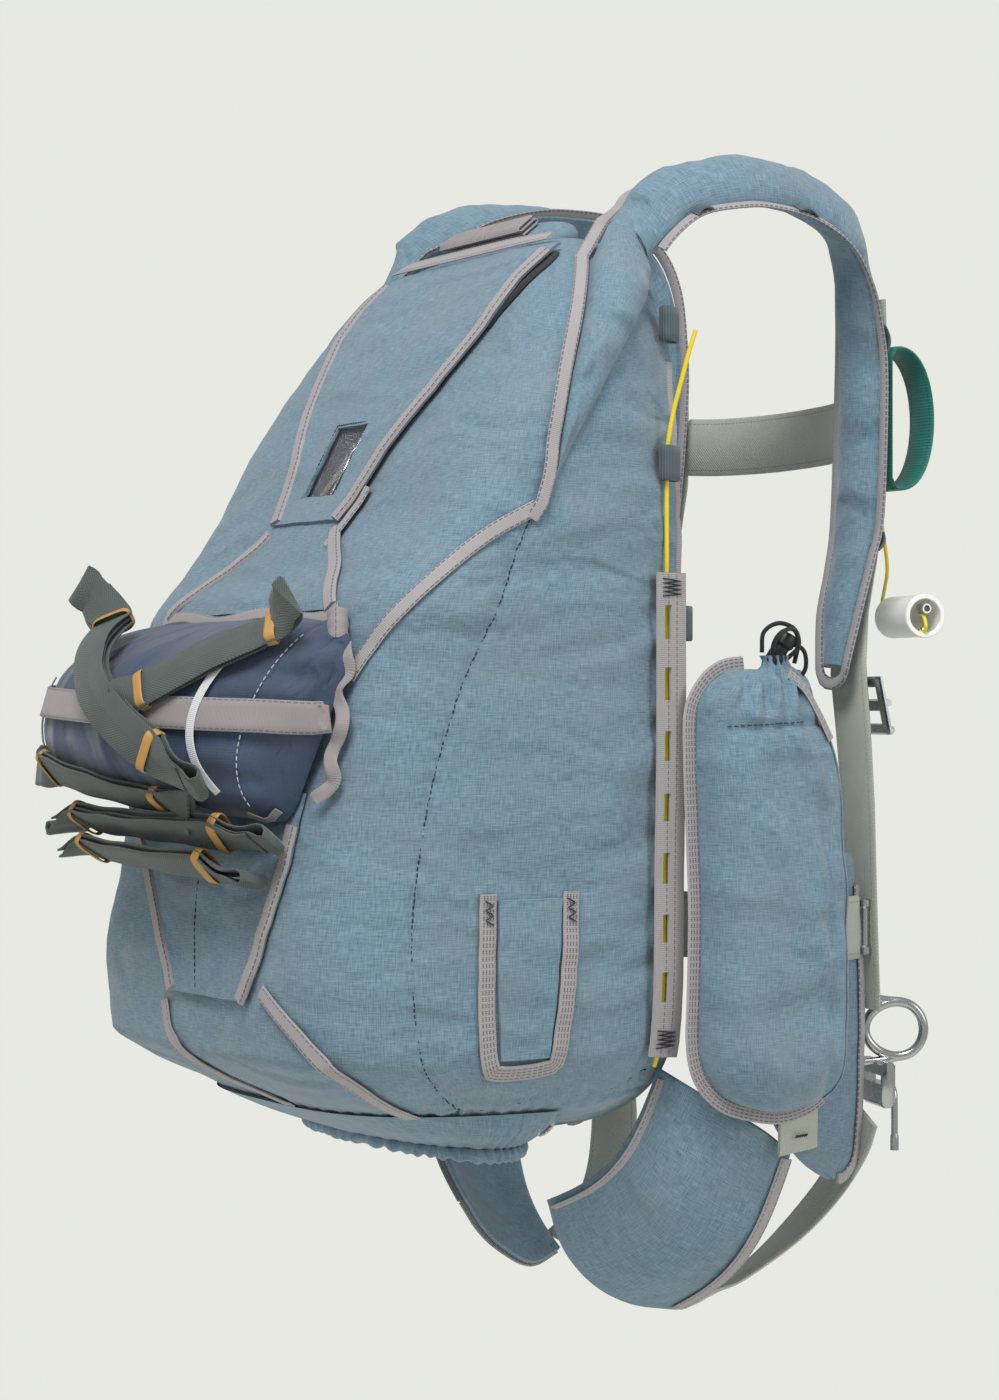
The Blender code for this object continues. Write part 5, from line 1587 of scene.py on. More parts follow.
@dataclass
class HipPocket:
    """The filled pocket on the right hip: gathered at its top by a cord, and bound with tape."""
    # height, rear, front, crown
    rows: tuple[tuple[float, ...], ...] = (
        (-294, 14, 78, 12), (-302, 2, 86, 22), (-320, -9, 92, 28), (-350, -10, 98, 33), (-400, -8, 101, 36),
        (-450, -6, 104, 38), (-500, -7, 105, 38), (-535, -8, 104, 37), (-555, -3, 101, 34),
        (-570, 10, 94, 28), (-579, 28, 82, 18), (-583, 44, 70, 8))
    back: float = 188.0
    bend: float = 0.0010        # how fast the back curves inward, per millimetre squared
    bend_start: float = 40.0

    def back_x(self, y: float) -> float:
        """Return how far out the pocket's back lies at this distance behind the back pad."""
        return self.back - self.bend * max(y - self.bend_start, 0) ** 2

    def face(self, share: float, height: float, lift: float = 0.0) -> Vector:
        """Return a point of the pocket's outer face, with its folds.

        Args:
            share: The place from the rear edge to the front edge.
            height: The height.
            lift: How far it is raised.

        Returns:
            The point.
        """
        rear, front, crown = (table_value(self.rows, column, height) for column in (1, 2, 3))
        front -= 12 * math.exp(-((height + 305) / 45) ** 2)
        y = rear + (front - rear) * share
        bow = max(1 - abs(2 * share - 1) ** 3.6, 0.0)
        place = Vector((self.back_x(y) + 2 + crown * bow ** 0.55, y, height))
        gather = math.exp(-((height + 308) / 13) ** 2)
        near_top = math.exp(-((height + 296) / 30) ** 2)
        slant = Vector((0, y + height * 0.5, height * 0.28))
        fold = crumple(slant, 19, 4.2, 31) + crumple(place, 38, 4.6, 33)
        phase = (y - 46) * (0.34 + 0.004 * (height + 330)) + 0.8 * math.sin(height * 0.05)
        fold += near_top * 4.2 * math.sin(phase)
        casing = -4.0 * math.exp(-((height + 331 - 0.05 * (y - 40)) / 3.2) ** 2) - 2.5 * gather
        long_fold = -4.4 * math.exp(-((y - 74 + (height + 450) * 0.03) / 6) ** 2)
        long_fold *= min(1, max(0, (-height - 300) / 60))
        place.x += (fold + casing + long_fold) * bow ** 0.8 + lift
        return place

    def build(self) -> None:
        """Make the pocket's body, and then what is sewn on it."""
        columns, count = 56, 96
        rows = []
        for row in range(count + 1):
            height = -294 - 289 * row / count
            rear, front = (table_value(self.rows, column, height) for column in (1, 2))
            line = []
            for step in range(columns + 1):
                y = rear + (front - rear) * step / columns
                line.append((Vector((self.back_x(y) - 2, y, height)), self.face(step / columns, height)))
            rows.append(line)
        fit(sheet("hip_pocket", rows, CANVAS, (), 70), "side_pocket")
        self.binding()
        self.casing()
        self.cord_and_lock()

    def binding(self) -> None:
        """Bind the pocket's edge from its top rear corner round its foot."""
        line = [Vector((self.back + 1.5, 26, -290.5)), Vector((self.back + 1, 10, -293))]
        for row in self.rows[1:-1]:
            line.append(Vector((self.back - 1, row[1] - 4.5, row[0] - (2 if row[0] < -550 else 0))))
        line.append(Vector((self.back - 1, 57, -587.5)))
        for row in self.rows[-2:-5:-1]:
            line.append(Vector((self.back - 1 - 0.0010 * (row[2] - 33) ** 2, row[2] + 4.5, row[0] - 3)))
        centres = smooth_path(line, 4)
        tape = band("hip_pocket_binding", centres, [Vector((1, 0, 0))] * len(centres), 10.5, 2.6,
                    POCKET_BINDING)
        fit(tape, "side_pocket_tape")

    def casing(self) -> None:
        """Sew the casing's stitches, the front panel's seam, the top binding and the webbing tab."""
        line = [self.face(0.1 + 0.62 * s / 20, -331 + 0.05 * (s * 3), 0.5) for s in range(21)]
        fit(stitches("casing_stitches", line, DARK_THREAD, 3, 1.2, 0.4))
        seam = [self.face(0.885, -310 - 265 * s / 50, 0.6) for s in range(51)]
        outs = [Vector((0.75, 0.65, 0))] * len(seam)
        fit(band("pocket_seam", seam, outs, 2.4, 0.8, CANVAS))
        ends = smooth_path([self.face(0.66, -297, 1.0), self.face(0.80, -306, 1.4),
                            self.face(0.86, -322, 1.4), self.face(0.885, -340, 1.2)], 3)
        fit(band("pocket_top_binding", ends, [Vector((0.8, 0.6, 0.1))] * len(ends), 9, 1.6, POCKET_BINDING))
        tab = [Vector((184 - 0.25 * i, 60 + 2.4 * i, -600 + 0.2 * i)) for i in range(15)]
        fit(band("webbing_tab", tab, [Vector((0.97, 0.2, -0.1))] * len(tab), 30, 2.4, HARNESS_WEB))
        marks = [Vector((187.4 - 0.25 * i, 72 + 2.2 * (i / 2), -603 + 1.6 * (i % 2))) for i in range(12)]
        fit(rod("tab_bar_tack", divide(marks, 30), 0.5, DARK_THREAD, 5))

    def cord_and_lock(self) -> None:
        """Make the cord lock and the two loops of its cord."""
        place, axis = Vector((196, 46, -290.7)), Vector((0.25, 0.45, 0.86))
        profile = ((0.1, 0), (5.0, 0), (6.2, 1.2), (6.5, 2.4), (6.5, 8.4), (5.6, 9.6), (4.8, 10.4),
                   (4.8, 12.8), (5.6, 13.8), (6.5, 15), (6.5, 20.6), (5.8, 22.2), (4.6, 23), (0.1, 23))
        ruff = []
        for number in range(72):
            angle = 2 * math.pi * number / 72
            ripple = 1 + 0.16 * math.sin(angle * 11 + math.sin(angle * 3))
            way = Vector((math.cos(angle), math.sin(angle), 0))
            ruff.append((way, ripple))
        rows = ((13, 20, -306), (12, 17, -300), (10, 13.5, -295), (7.6, 9.4, -291.5), (7.0, 8.2, -288),
                (7.8, 9.2, -285))
        inner, outer = [], []
        for wide, deep, height in rows:
            spot = Vector((196, 48 - (height + 285) * 0.25, height))
            outer.append([spot + Vector((way.x * wide, way.y * deep, 0)) * ripple for way, ripple in ruff])
            inner.append([spot + Vector((way.x * wide, way.y * deep, 0)) * (ripple - 0.13)
                          for way, ripple in ruff])
        fit(hull("pocket_ruff", [*outer, *inner[::-1]], CANVAS, closed=True))
        lock = turned("cord_lock_barrel", profile, BLACK_NYLON, place, axis, 36)
        fit(lock, "cord_lock")
        paths = (
            ((200, 54, -288), (206, 60, -279), (206, 57, -268), (203, 46, -264), (199, 37, -270),
             (197, 37, -283)),
            ((198, 44, -288), (206, 40, -277), (209, 44, -270), (207, 55, -268), (202, 63, -276),
             (199, 62, -290)),
            ((199, 55, -276), (203, 66, -281), (201, 70, -292), (197, 68, -300)),
        )
        for number, path in enumerate(paths, 1):
            fit(rod(f"draw_cord_{number}", smooth_path(path, 1.6), 1.5, BLACK_CORD, 10))


@dataclass
class Harness:
    """The load webbing, chest strap and adapters, and the hip and leg pieces of both sides."""
    # point of the middle line, direction of the face
    lift_web: tuple[tuple[Triple, Triple], ...] = (
        ((122, 185.5, -36), (0.16, 0.98, 0.12)), ((121, 186.5, -70), (0.12, 0.99, 0)),
        ((120, 186.5, -110), (0.10, 0.99, 0)), ((120, 186.0, -150), (0.09, 0.99, 0)),
        ((122, 181.5, -185), (0.07, 0.99, 0)), ((126, 172.5, -222), (0.06, 0.99, 0)),
        ((131, 161.5, -256), (0.06, 0.99, 0)), ((138, 154.0, -292), (0.08, 0.99, 0)),
        ((146, 152, -335), (0.12, 0.99, 0)), ((150, 153, -385), (0.16, 0.98, 0)),
        ((152, 154, -440), (0.20, 0.98, 0)), ((153, 155, -490), (0.20, 0.98, 0)),
        ((153, 156.6, -524.6), (0.20, 0.98, 0)))
    chest: tuple[Triple, ...] = ((96.8, 188, -122), (60, 196, -124), (0, 199, -125), (-60, 196, -124),
                                 (-96.8, 188, -122))
    # height, rear, front
    hip_rows: tuple[Triple, ...] = ((-418, 66, 142), (-470, 52, 145), (-530, 44, 146), (-575, 52, 146),
                                    (-600, 66, 146), (-616, 82, 145), (-629, 100, 141), (-637, 118, 130))
    hip_web: tuple[Triple, ...] = ((159.8, -6, -460), (167, 7, -461), (178, 23, -462), (182.1, 42, -463),
                                   (181.5, 62, -464), (177.0, 95, -467), (168.7, 128, -468),
                                   (164.4, 141, -468))
    leg_top: tuple[Triple, ...] = ((152, -12, -557), (167, 8, -572), (176, 34, -588), (177, 58, -602),
                                   (174, 78, -616))
    leg_bottom_right: tuple[Triple, ...] = ((84, -55, -650), (82, -42, -682), (82, -18, -708),
                                            (84, 12, -724), (91, 44, -730))
    leg_bottom_left: tuple[Triple, ...] = ((92, -14, -676), (90, 2, -700), (89, 22, -717),
                                           (93, 46, -728), (102, 74, -722))
    leg_web_right: tuple[Triple, ...] = ((91, 56, -725), (97, 84, -713), (111, 117, -686),
                                         (130, 141, -652), (147, 153, -618), (155, 155, -596.5))
    leg_web_left: tuple[Triple, ...] = ((102, 82.2, -717), (108, 110, -700), (122, 132, -672),
                                        (138, 147, -642), (149, 154, -615), (155, 155, -596.5))
    leg_sag: float = 24.0
    leg_thick: float = 10.0
    hip_thick: float = 9.0

    def build(self) -> None:
        """Make the webbing and the pads."""
        for side in Side:
            self.load_web(side)
            self.adapter(side)
            self.hip_pad(side)
            self.leg_pad(side)
            self.side_webs(side)
        line = smooth_path(self.chest, 5)
        outs = [Vector((0.0022 * point.x, 1, 0)).normalized() for point in line]
        fit(band("chest_webbing", line, outs, WEB_WIDTH, WEB, HARNESS_WEB), "chest_strap")

    def load_web(self, side: Side) -> None:
        """Weave the main lift web.

        Args:
            side: The side that it is on.
        """
        centres, outs = [], []
        for (start, way), (end, next_way) in zip(self.lift_web, self.lift_web[1:]):
            for step in range(6):
                centres.append(Vector(start).lerp(Vector(end), step / 6))
                outs.append(Vector(way).lerp(Vector(next_way), step / 6).normalized())
        centres.append(Vector(self.lift_web[-1][0]))
        outs.append(Vector(self.lift_web[-1][1]).normalized())
        self.web("lift", centres, outs, side)

    @staticmethod
    def web(name: str, centres: Sequence[Vector], outs: Sequence[Vector], side: Side) -> None:
        """Weave one length of harness webbing, given on the right side, for either side.

        Args:
            name: The web's first word.
            centres: Its middle line.
            outs: The way that its face looks.
            side: The side that it is on.
        """
        piece = band(f"{name}_webbing_{side.label}", mirrored(centres, side), mirrored(outs, side), WEB_WIDTH,
                     WEB, HARNESS_WEB)
        fit(piece, f"{name}_web_{side.label}")

    def adapter(self, side: Side) -> None:
        """Press the flat adapter with its two slots, and its sliding bar.

        Args:
            side: The side that it is on.
        """
        turn = Matrix.Rotation(math.radians(-8), 3, "Z") @ Matrix.Rotation(math.radians(12), 3, "X")
        centre = Vector((143.8, 162.0, -318))
        xs = (-31, -29.5, -23.6, 0, 23.6, 29.5, 31)
        zs = (20, 18.8, 13, 3.5, -3.5, -13, -18.8, -20)
        rows = []
        for r, z in enumerate(zs):
            line = []
            for c, x in enumerate(xs):
                rim = 0.9 if r in (0, len(zs) - 1) or c in (0, len(xs) - 1) else 0.0
                line.append(tuple(mirror(centre + turn @ Vector((x, y, z)), side) for y in (rim, 3.5 - rim)))
            rows.append(line)
        holes = [(2, 2), (2, 3), (4, 2), (4, 3)]
        fit(sheet(f"friction_adapter_{side.label}", rows, STEEL, holes, 30), f"adapter_{side.label}")
        for number, (height, stand, radius) in enumerate(((1.0, 5.6, 2.6), (-17.6, 3.4, 3.2)), 1):
            ends = [centre + turn @ Vector((x, stand, height)) for x in (-28, 28)]
            bar = rod(f"adapter_bar_{number}_{side.label}", mirrored(divide(ends, 8), side), radius, STEEL,
                      16)
            fit(bar)

    def hip_pad(self, side: Side) -> None:
        """Make the flat pad at the hip, with its tape.

        Args:
            side: The side that it is on.
        """
        rows = []
        for row in range(41):
            height = -418 - 219 * row / 40
            rear, front = (table_value(self.hip_rows, column, height) for column in (1, 2))
            line = []
            for step in range(19):
                share = step / 18
                y = rear + (front - rear) * share
                x = 183 - 0.00178 * (y - 40) ** 2 - 0.00045 * (height + 520) ** 2
                out = Vector((1, 0.0035 * (y - 40), 0)).normalized()
                bulge = self.hip_thick * (0.35 + 0.65 * math.sin(math.pi * share) ** 0.5)
                place = Vector((x, y, height))
                raised = place + out * min(crumple(place, 22, 1.0, 41), 0.4)
                line.append((mirror(place - out * bulge, side), mirror(raised, side)))
            rows.append(line)
        pad = sheet(f"hip_cushion_{side.label}", rows, CANVAS, (), 60)
        fit(pad, f"hip_pad_{side.label}")
        around = smooth_path([line[-1][1] for line in rows[4:]] + [rows[-1][9][1]], 4)
        outs = [Vector((side.sign * 0.9, 0.42, 0))] * len(around)
        fit(band(f"hip_binding_{side.label}", around, outs, 8, 1.6, BINDING, lift=0.4))

    def leg_pad(self, side: Side) -> None:
        """Make the pad that curves under the thigh, bound with tape along its edges.

        Args:
            side: The side that it is on.
        """
        columns, rows = 36, 40
        top = divide(smooth_path(self.leg_top, 5), columns)
        foot = self.leg_bottom_right if side is Side.RIGHT else self.leg_bottom_left
        bottom = divide(smooth_path(foot, 5), columns)
        out_way = Vector((0.72, 0.0, -0.69)).normalized()
        places = []
        for row in range(rows + 1):
            v = row / rows
            line = []
            for column in range(columns + 1):
                u = column / columns
                sag = self.leg_sag * math.sin(math.pi * v) * (0.8 + 0.2 * math.sin(math.pi * u))
                base = top[column].lerp(bottom[column], v) + out_way * sag
                rim = max(math.sin(math.pi * u) * math.sin(math.pi * v), 0)
                fold = crumple(Vector((base.x * 0.5, base.y, base.z * 0.5)), 15, 1.8, 51) * min(1, rim * 3)
                depth = self.leg_thick * (0.35 + 0.65 * rim ** 0.4)
                line.append((mirror(base - out_way * depth, side), mirror(base + out_way * fold, side)))
            places.append(line)
        pad = sheet(f"leg_cushion_{side.label}", places, CANVAS, (), 60)
        fit(pad, f"leg_pad_{side.label}")
        outer = [[place[1] for place in line] for line in places]
        lines = {"rear": [row[0] for row in outer], "front": [row[-1] for row in outer]}
        if side is Side.LEFT:
            lines["foot"] = outer[-1]
        middle, flat = outer[rows // 2][columns // 2], mirror(out_way, side)
        for name, line in lines.items():
            inset = [point.lerp(middle, 0.05) for point in line]
            outs = [(flat - direction * flat.dot(direction)).normalized() for direction in tangents_of(inset)]
            fit(band(f"leg_{name}_binding_{side.label}", inset, outs, TAPE_WIDTH, 1.6, BINDING, lift=0.9))

    def side_webs(self, side: Side) -> None:
        """Weave the hip web and the leg web, and set the roller at the hip web's end.

        Args:
            side: The side that it is on.
        """
        line = smooth_path(self.hip_web, 4)
        outs = [Vector((way.y, -way.x, 0)).normalized() for way in tangents_of(line)]
        roller = ((0.1, 0), (4.6, 0), (5.4, 0.8), (5.4, 5), (4.2, 6.5), (4.2, 31.5), (5.4, 33), (5.4, 37.2),
                  (4.6, 38), (0.1, 38))
        place = mirror(Vector((163.4, 149, -487)), side)
        fit(turned(f"hip_roller_{side.label}", roller, STEEL, place, Vector((0, 0, 1)), 32))
        self.web("hip", line, outs, side)
        line = smooth_path(self.leg_web_right if side is Side.RIGHT else self.leg_web_left, 5)
        last = len(line) - 1
        outs = [Vector((0.45, 0.75, -0.5)).lerp(Vector((0.3, 0.95, 0)), s / last).normalized()
                for s in range(last + 1)]
        self.web("leg", line, outs, side)


@dataclass
class Hardware:
    """The V rings, the quick snaps and their release levers."""
    ring_centre: Triple = (165, 174, -539)
    snap_centre: Triple = (159, 165, -575.5)
    right_way: Triple = (0.53, 0.848, 0)
    snap_turn: float = -18.0     # degrees about the upright axis

    def build(self) -> None:
        """Make them on both sides."""
        for side in Side:
            self.ring(side)
            self.snap(side)
            self.lever(side)

    def ring(self, side: Side) -> None:
        """Forge the ring: a round eye that runs out into the two arms of its base.

        Args:
            side: The side that it is on.
        """
        centre, way = Vector(self.ring_centre), Vector(self.right_way)
        up = Vector((0, 0, 1))
        points = []
        for number in range(96):
            angle = 2 * math.pi * number / 96
            spread = 1 + 0.10 * math.cos(angle)
            points.append(mirror(centre + way * (20 * math.cos(angle))
                                 + up * (18.5 * spread * math.sin(angle)), side))
        fit(rod(f"ring_eye_{side.label}", points, 3.3, STEEL, 18, True), f"v_ring_{side.label}")
        arms = [centre + way * u + up * v for u, v in ((2, 19), (-8, 20), (-18, 23), (-22, 24), (-25, 20),
                                                       (-29, 0), (-34, -15), (-34, -21), (-28, -23),
                                                       (-8, -21.5), (2, -19))]
        fit(rod(f"ring_base_{side.label}", mirrored(smooth_path(arms, 2.5), side), 3.0, STEEL, 16))

    def snap(self, side: Side) -> None:
        """Forge the snap's frame and its two rivets.

        Args:
            side: The side that it is on.
        """
        centre = Vector(self.snap_centre)
        turn = Matrix.Rotation(math.radians(self.snap_turn), 3, "Z")
        xs = (-22, -20, -16, 0, 16, 20, 22)
        zs = (15.5, 13.5, 6.5, 0.5, -6, -13.5, -15.5)
        rows = []
        for r, z in enumerate(zs):
            line = []
            for c, x in enumerate(xs):
                rim = 2.2 if r in (0, 6) or c in (0, 6) else 0.0
                taper = 1 - 0.18 * max(0, -z) / 15.5
                line.append(tuple(mirror(centre + turn @ Vector((x * taper, y, z)), side)
                                  for y in (-4.5 + rim, 4.5 - rim)))
            rows.append(line)
        frame = sheet(f"snap_frame_{side.label}", rows, STEEL, [(2, 2), (2, 3)], 40)
        fit(frame, f"snap_body_{side.label}")
        out = turn @ Vector((0, 1, 0))
        for number, (x, z) in enumerate(((-14, -3), (14, -10)), 1):
            place = mirror(centre + turn @ Vector((x, 4.4, z)), side)
            profile = ((0.1, 0), (3.2, 0), (3.2, 0.9), (2.4, 1.7), (0.1, 2.0))
            fit(turned(f"snap_rivet_{number}_{side.label}", profile, STEEL, place, mirror(out, side), 20))

    def lever(self, side: Side) -> None:
        """Bend the release lever from round wire, with its thicker end.

        Args:
            side: The side that it is on.
        """
        centre = Vector(self.snap_centre)
        turn = Matrix.Rotation(math.radians(self.snap_turn), 3, "Z")
        hinge = centre + turn @ Vector((3, 4.5 + 2.5 + 0.4, -3))
        axle = turn @ Vector((1, 0, 0)) * 9
        down = Vector((0, 0, -42))
        knots = [hinge - axle, hinge - axle * 0.4, hinge, hinge + axle * 0.45,
                 hinge + axle * 0.8 + down * 0.08, hinge + axle * 0.9 + down * 0.3, hinge + axle * 0.9 + down]
        line = smooth_path(knots, 1.8)
        radii = [2.3 if index < len(line) - 6 else 2.9 for index in range(len(line))]
        piece = rod(f"release_lever_{side.label}", mirrored(line, side), radii, STEEL, 16)
        fit(piece, f"snap_lever_{side.label}", body=f"lever_{side.label}")


@dataclass
class Handles:
    """The green webbing handle, the white tube handle and its cable."""
    centre: Triple = (128, 193.4, -118)
    reach: float = 31.0
    half_height: float = 48.0
    tube_end: Triple = (166, 201, -256)
    tube_axis: Triple = (0.974, -0.225, 0)

    def build(self) -> None:
        """Make both handles."""
        centre = Vector(self.centre)
        path = [Vector((0, 0, self.half_height * (1 - 2 * s / 24) * 0.86)) for s in range(25)]
        for step in range(49):
            angle = -math.pi / 2 + math.pi * step / 48
            bow = max(math.cos(angle), 0.0)
            path.append(Vector((0, 4 + self.reach * bow ** 0.8, self.half_height * math.sin(angle))))
        centres = [centre + point for point in path]
        middle = centre + Vector((0, self.reach * 0.45, 0))
        outs = []
        for point, direction in zip(centres, tangents_of(centres, True)):
            out = direction.cross(Vector((1, 0, 0)))
            outs.append(out if out.dot(point - middle) > 0 else -out)
        fit(band("release_handle", centres, outs, 26, 2.4, GREEN_WEB, closed=True), "green_handle")
        axis = Vector(self.tube_axis).normalized()
        profile = ((11.6, 0.6), (12.2, 0), (13.8, 0), (14.6, 0.8), (14.6, 46), (15.2, 46.8), (15.2, 49.3),
                   (14.6, 50), (12.2, 50), (11.6, 49.4))
        start = Vector(self.tube_end) - axis * 50
        fit(turned("tube_pull", profile, PVC, start, axis, 64, True), "tube_handle")
        recoat(FRAME["nodes"]["handle_cable"], YELLOW_CABLE)
        ferrule = ((2.2, 0), (3.4, 0), (3.8, 0.6), (3.8, 9.4), (3.4, 10), (2.2, 10))
        place = Vector((158, 203, -251))
        fit(turned("cable_ferrule", ferrule, STEEL, place, axis, 28, True))
        loop = smooth_path([(160, 202, -254), (165, 200.5, -257), (168, 199.5, -263), (164, 201, -268),
                            (159, 202.5, -266)], 1)
        fit(rod("cable_loop", loop, 1.3, YELLOW_CABLE, 12))
        swage = [Vector((156.3, 203.2, -265.3)), Vector((162.6, 201.8, -265.0))]
        fit(rod("cable_swage", divide(swage, 6), 0.9, STEEL, 12))


@dataclass
class StrappedBag:
    """The small folded bag on the rear, with its stripe, lines, folded webs and rubber bands."""
    form: ContainerForm
    # x, top, bottom, thickness
    rows: tuple[tuple[float, ...], ...] = (
        (-168, -292, -352, 16), (-160, -276, -366, 44), (-140, -268, -376, 62), (-100, -263, -382, 74),
        (-50, -262, -386, 80), (0, -262, -388, 82), (45, -262, -388, 76), (85, -262, -389, 60),
        (112, -264, -390, 42), (122, -265, -384, 34), (134, -267, -354, 27), (144, -271, -322, 17),
        (150, -276, -298, 8))
    lift: float = 6.0
    web_width: float = 28.0
    web_thick: float = 1.6
    layer_pitch: float = 3.4
    end_turn: float = 40.0       # degrees that each end of a web is twisted
    end_share: float = 0.14      # the share of its length in which it twists

    def point(self, x: float, z: float, lift: float) -> Vector:
        """Return a point over the bag's rear face.

        Args:
            x: The place along the bag.
            z: The height.
            lift: How far it is raised.

        Returns:
            The point.
        """
        top, bottom, thickness = (table_value(self.rows, column, x) for column in (1, 2, 3))
        share = min(max((top - z) / (top - bottom), 0), 1)
        rise = thickness * max(1 - abs(2 * share - 1) ** 2.4, 0) ** 0.6
        return self.form.rear_point(x, z) + Vector((0, -(self.lift + rise + lift), 0))

    def normal(self, x: float, z: float) -> Vector:
        """Return the direction straight out of the bag's rear face.

        Args:
            x: The place along the bag.
            z: The height.

        Returns:
            A unit vector.
        """
        along = self.point(x + 1, z, 0) - self.point(x - 1, z, 0)
        down = self.point(x, z - 1, 0) - self.point(x, z + 1, 0)
        out = along.cross(down).normalized()
        return out if out.y < 0 else -out

    def creased(self, x: float, z: float) -> float:
        """Return the height of the cloth's creases: they run from the gathered end along the bag.

        Args:
            x: The place along the bag.
            z: The height.

        Returns:
            The height of the cloth there.
        """
        end = min(1.0, max(0.0, (x - 60) / 80))
        pull = 3.4 * end * math.sin(z * 0.28 + 1.2 * math.sin(x * 0.05)) - 0.6
        small = crumple(Vector((x * 0.5, 0, z)), 20, 2.6, 61)
        return pull + small + crumple(Vector((x, 0, z * 0.6)), 42, 3.4, 67)

    def build(self) -> None:
        """Make the bag and what is strapped on it."""
        rings = []
        for step in range(97):
            x = -168 + 318 * step / 96
            top, bottom = (table_value(self.rows, column, x) for column in (1, 2))
            outer, inner = [], []
            for number in range(41):
                share = 0.5 - 0.5 * math.cos(math.pi * number / 40)
                z = top + (bottom - top) * share
                edge = min(1.0, 5 * min(share, 1 - share))
                outer.append(self.point(x, z, 0.4 + min(self.creased(x, z), 0.4) * edge))
                if number % 4 == 0:
                    inner.append(self.form.rear_point(x, z) + Vector((0, -self.lift, 0)))
            rings.append(outer + inner[::-1])
        fit(hull("folded_bag", rings, BAG_NYLON), "bag")
        self.stripe()
        self.lines()
        self.gathered_end()
        self.webs()

    def strip(self, name: str, places: Sequence[Pair], width: float, thickness: float, lift: float,
              finish: Finish, *nodes: str) -> None:
        """Lay a band on the bag along places given as x and height.

        Args:
            name: The piece's name.
            places: Its middle line.
            width: Its width.
            thickness: Its thickness.
            lift: How far it is raised.
            finish: Its finish.
            *nodes: The nodes that it replaces.
        """
        line = smooth_path([(x, 0, z) for x, z in places], 4)
        outs = [self.normal(point.x, point.z) for point in line]
        centres = [self.point(point.x, point.z, 1.0) + out * lift for point, out in zip(line, outs)]
        fit(band(name, centres, outs, width, thickness, finish), *nodes)

    def stripe(self) -> None:
        """Sew the grey stripe along the bag."""
        self.strip("bag_stripe_tape", [(x, -314 - 0.035 * (x + 162)) for x in range(-164, 147, 10)], 21, 1.2,
                   1.6, STRIPE, "bag_stripe")

    def lines(self) -> None:
        """Sew the white tapes, the tape at the tip and the pale row of stitches across the bag."""
        self.strip("white_tape_left", [(-140, -300), (-141, -318), (-139, -345)], 4, 0.8, 2.9, WHITE_TAPE)
        self.strip("bag_tip_tape", [(106, -383), (114, -387), (122, -381)], 6, 0.8, 1.5, STRIPE)
        self.strip("white_tape_right", [(99, -274), (92, -300), (88, -326), (91, -350), (99, -370)], 6, 0.8,
                   2.9, WHITE_TAPE)
        path = smooth_path([(128, 0, -274), (121, 0, -298), (116, 0, -330), (113, 0, -362), (112, 0, -380)],
                           3)
        raised = [self.point(p.x, p.z, 1.0) + self.normal(p.x, p.z) * 0.9 for p in path]
        fit(stitches("bag_stitches", raised, PALE_THREAD, 2.6, 1.8, 0.4))

    def gathered_end(self) -> None:
        """Make the bound edge of the bag's end and the rolled cloth at its top."""
        points = smooth_path([(147, -243, -280), (152, -246, -296), (148, -249, -312), (154, -250, -330),
                              (149, -253, -346), (150, -252, -362), (140, -256, -376)], 2)
        line = [point + Vector((1.3 * math.sin(i * 0.31), 0, 0)) for i, point in enumerate(points)]
        line = [self.form.lifted(self.form.seated(point), 7.0 + 1.6 * math.sin(i * 0.52))
                for i, point in enumerate(line)]
        outs = [(self.form.normal(point) + Vector((0.5, 0, 0.4 * math.sin(i * 0.6)))).normalized()
                for i, point in enumerate(line)]
        fit(band("bag_end_binding", line, outs, 9, 1.6, STRIPE))
        roll = smooth_path([self.form.lifted(self.form.seated(Vector(p)), 8.5) for p in
                            ((136, -240, -262), (141, -243, -272), (143, -246, -283))], 2)
        fit(rod("bag_cloth_roll", roll, [6.6 + 0.3 * math.sin(i * 1.7) for i in range(len(roll))], STRIPE,
                20))

    def seat(self, x: float, z: float) -> tuple[Vector, Vector]:
        """Return a seat on the bag and its outward direction, or one carried straight on past its edge.

        Args:
            x: The place along the bag.
            z: The height.

        Returns:
            The seat and the direction.
        """
        top, bottom = (table_value(self.rows, column, x) for column in (1, 2))
        inside = min(max(z, bottom + 14), top - 14)
        return self.point(x, inside, 1.0) + Vector((0, 0, z - inside)), self.normal(x, inside)

    def webs(self) -> None:
        """Fold the webbing over the bag and tie each bundle with rubber bands."""
        folds = (
            ("cross_web", (-86, -262), (92, -356), 10.5, 3, 14.0, "web_fold_1"),
            ("upper_web", (37, -318), (122, -268), 4.5, 2, 14.0, "web_fold_2"),
            ("middle_web", (76, -379), (-136, -355), 1.6, 2, 14.0, "web_fold_3"),
            ("lower_web", (-108, -395), (118, -400), -7.4, 3, 12.0, "web_fold_4"),
            ("hanging_web", (-100, -417), (104, -424), -9.0, 2, 14.0, None),
        )
        for name, start, end, lift, layers, bight, node in folds:
            self.fold(name, start, end, lift, layers, bight, node)

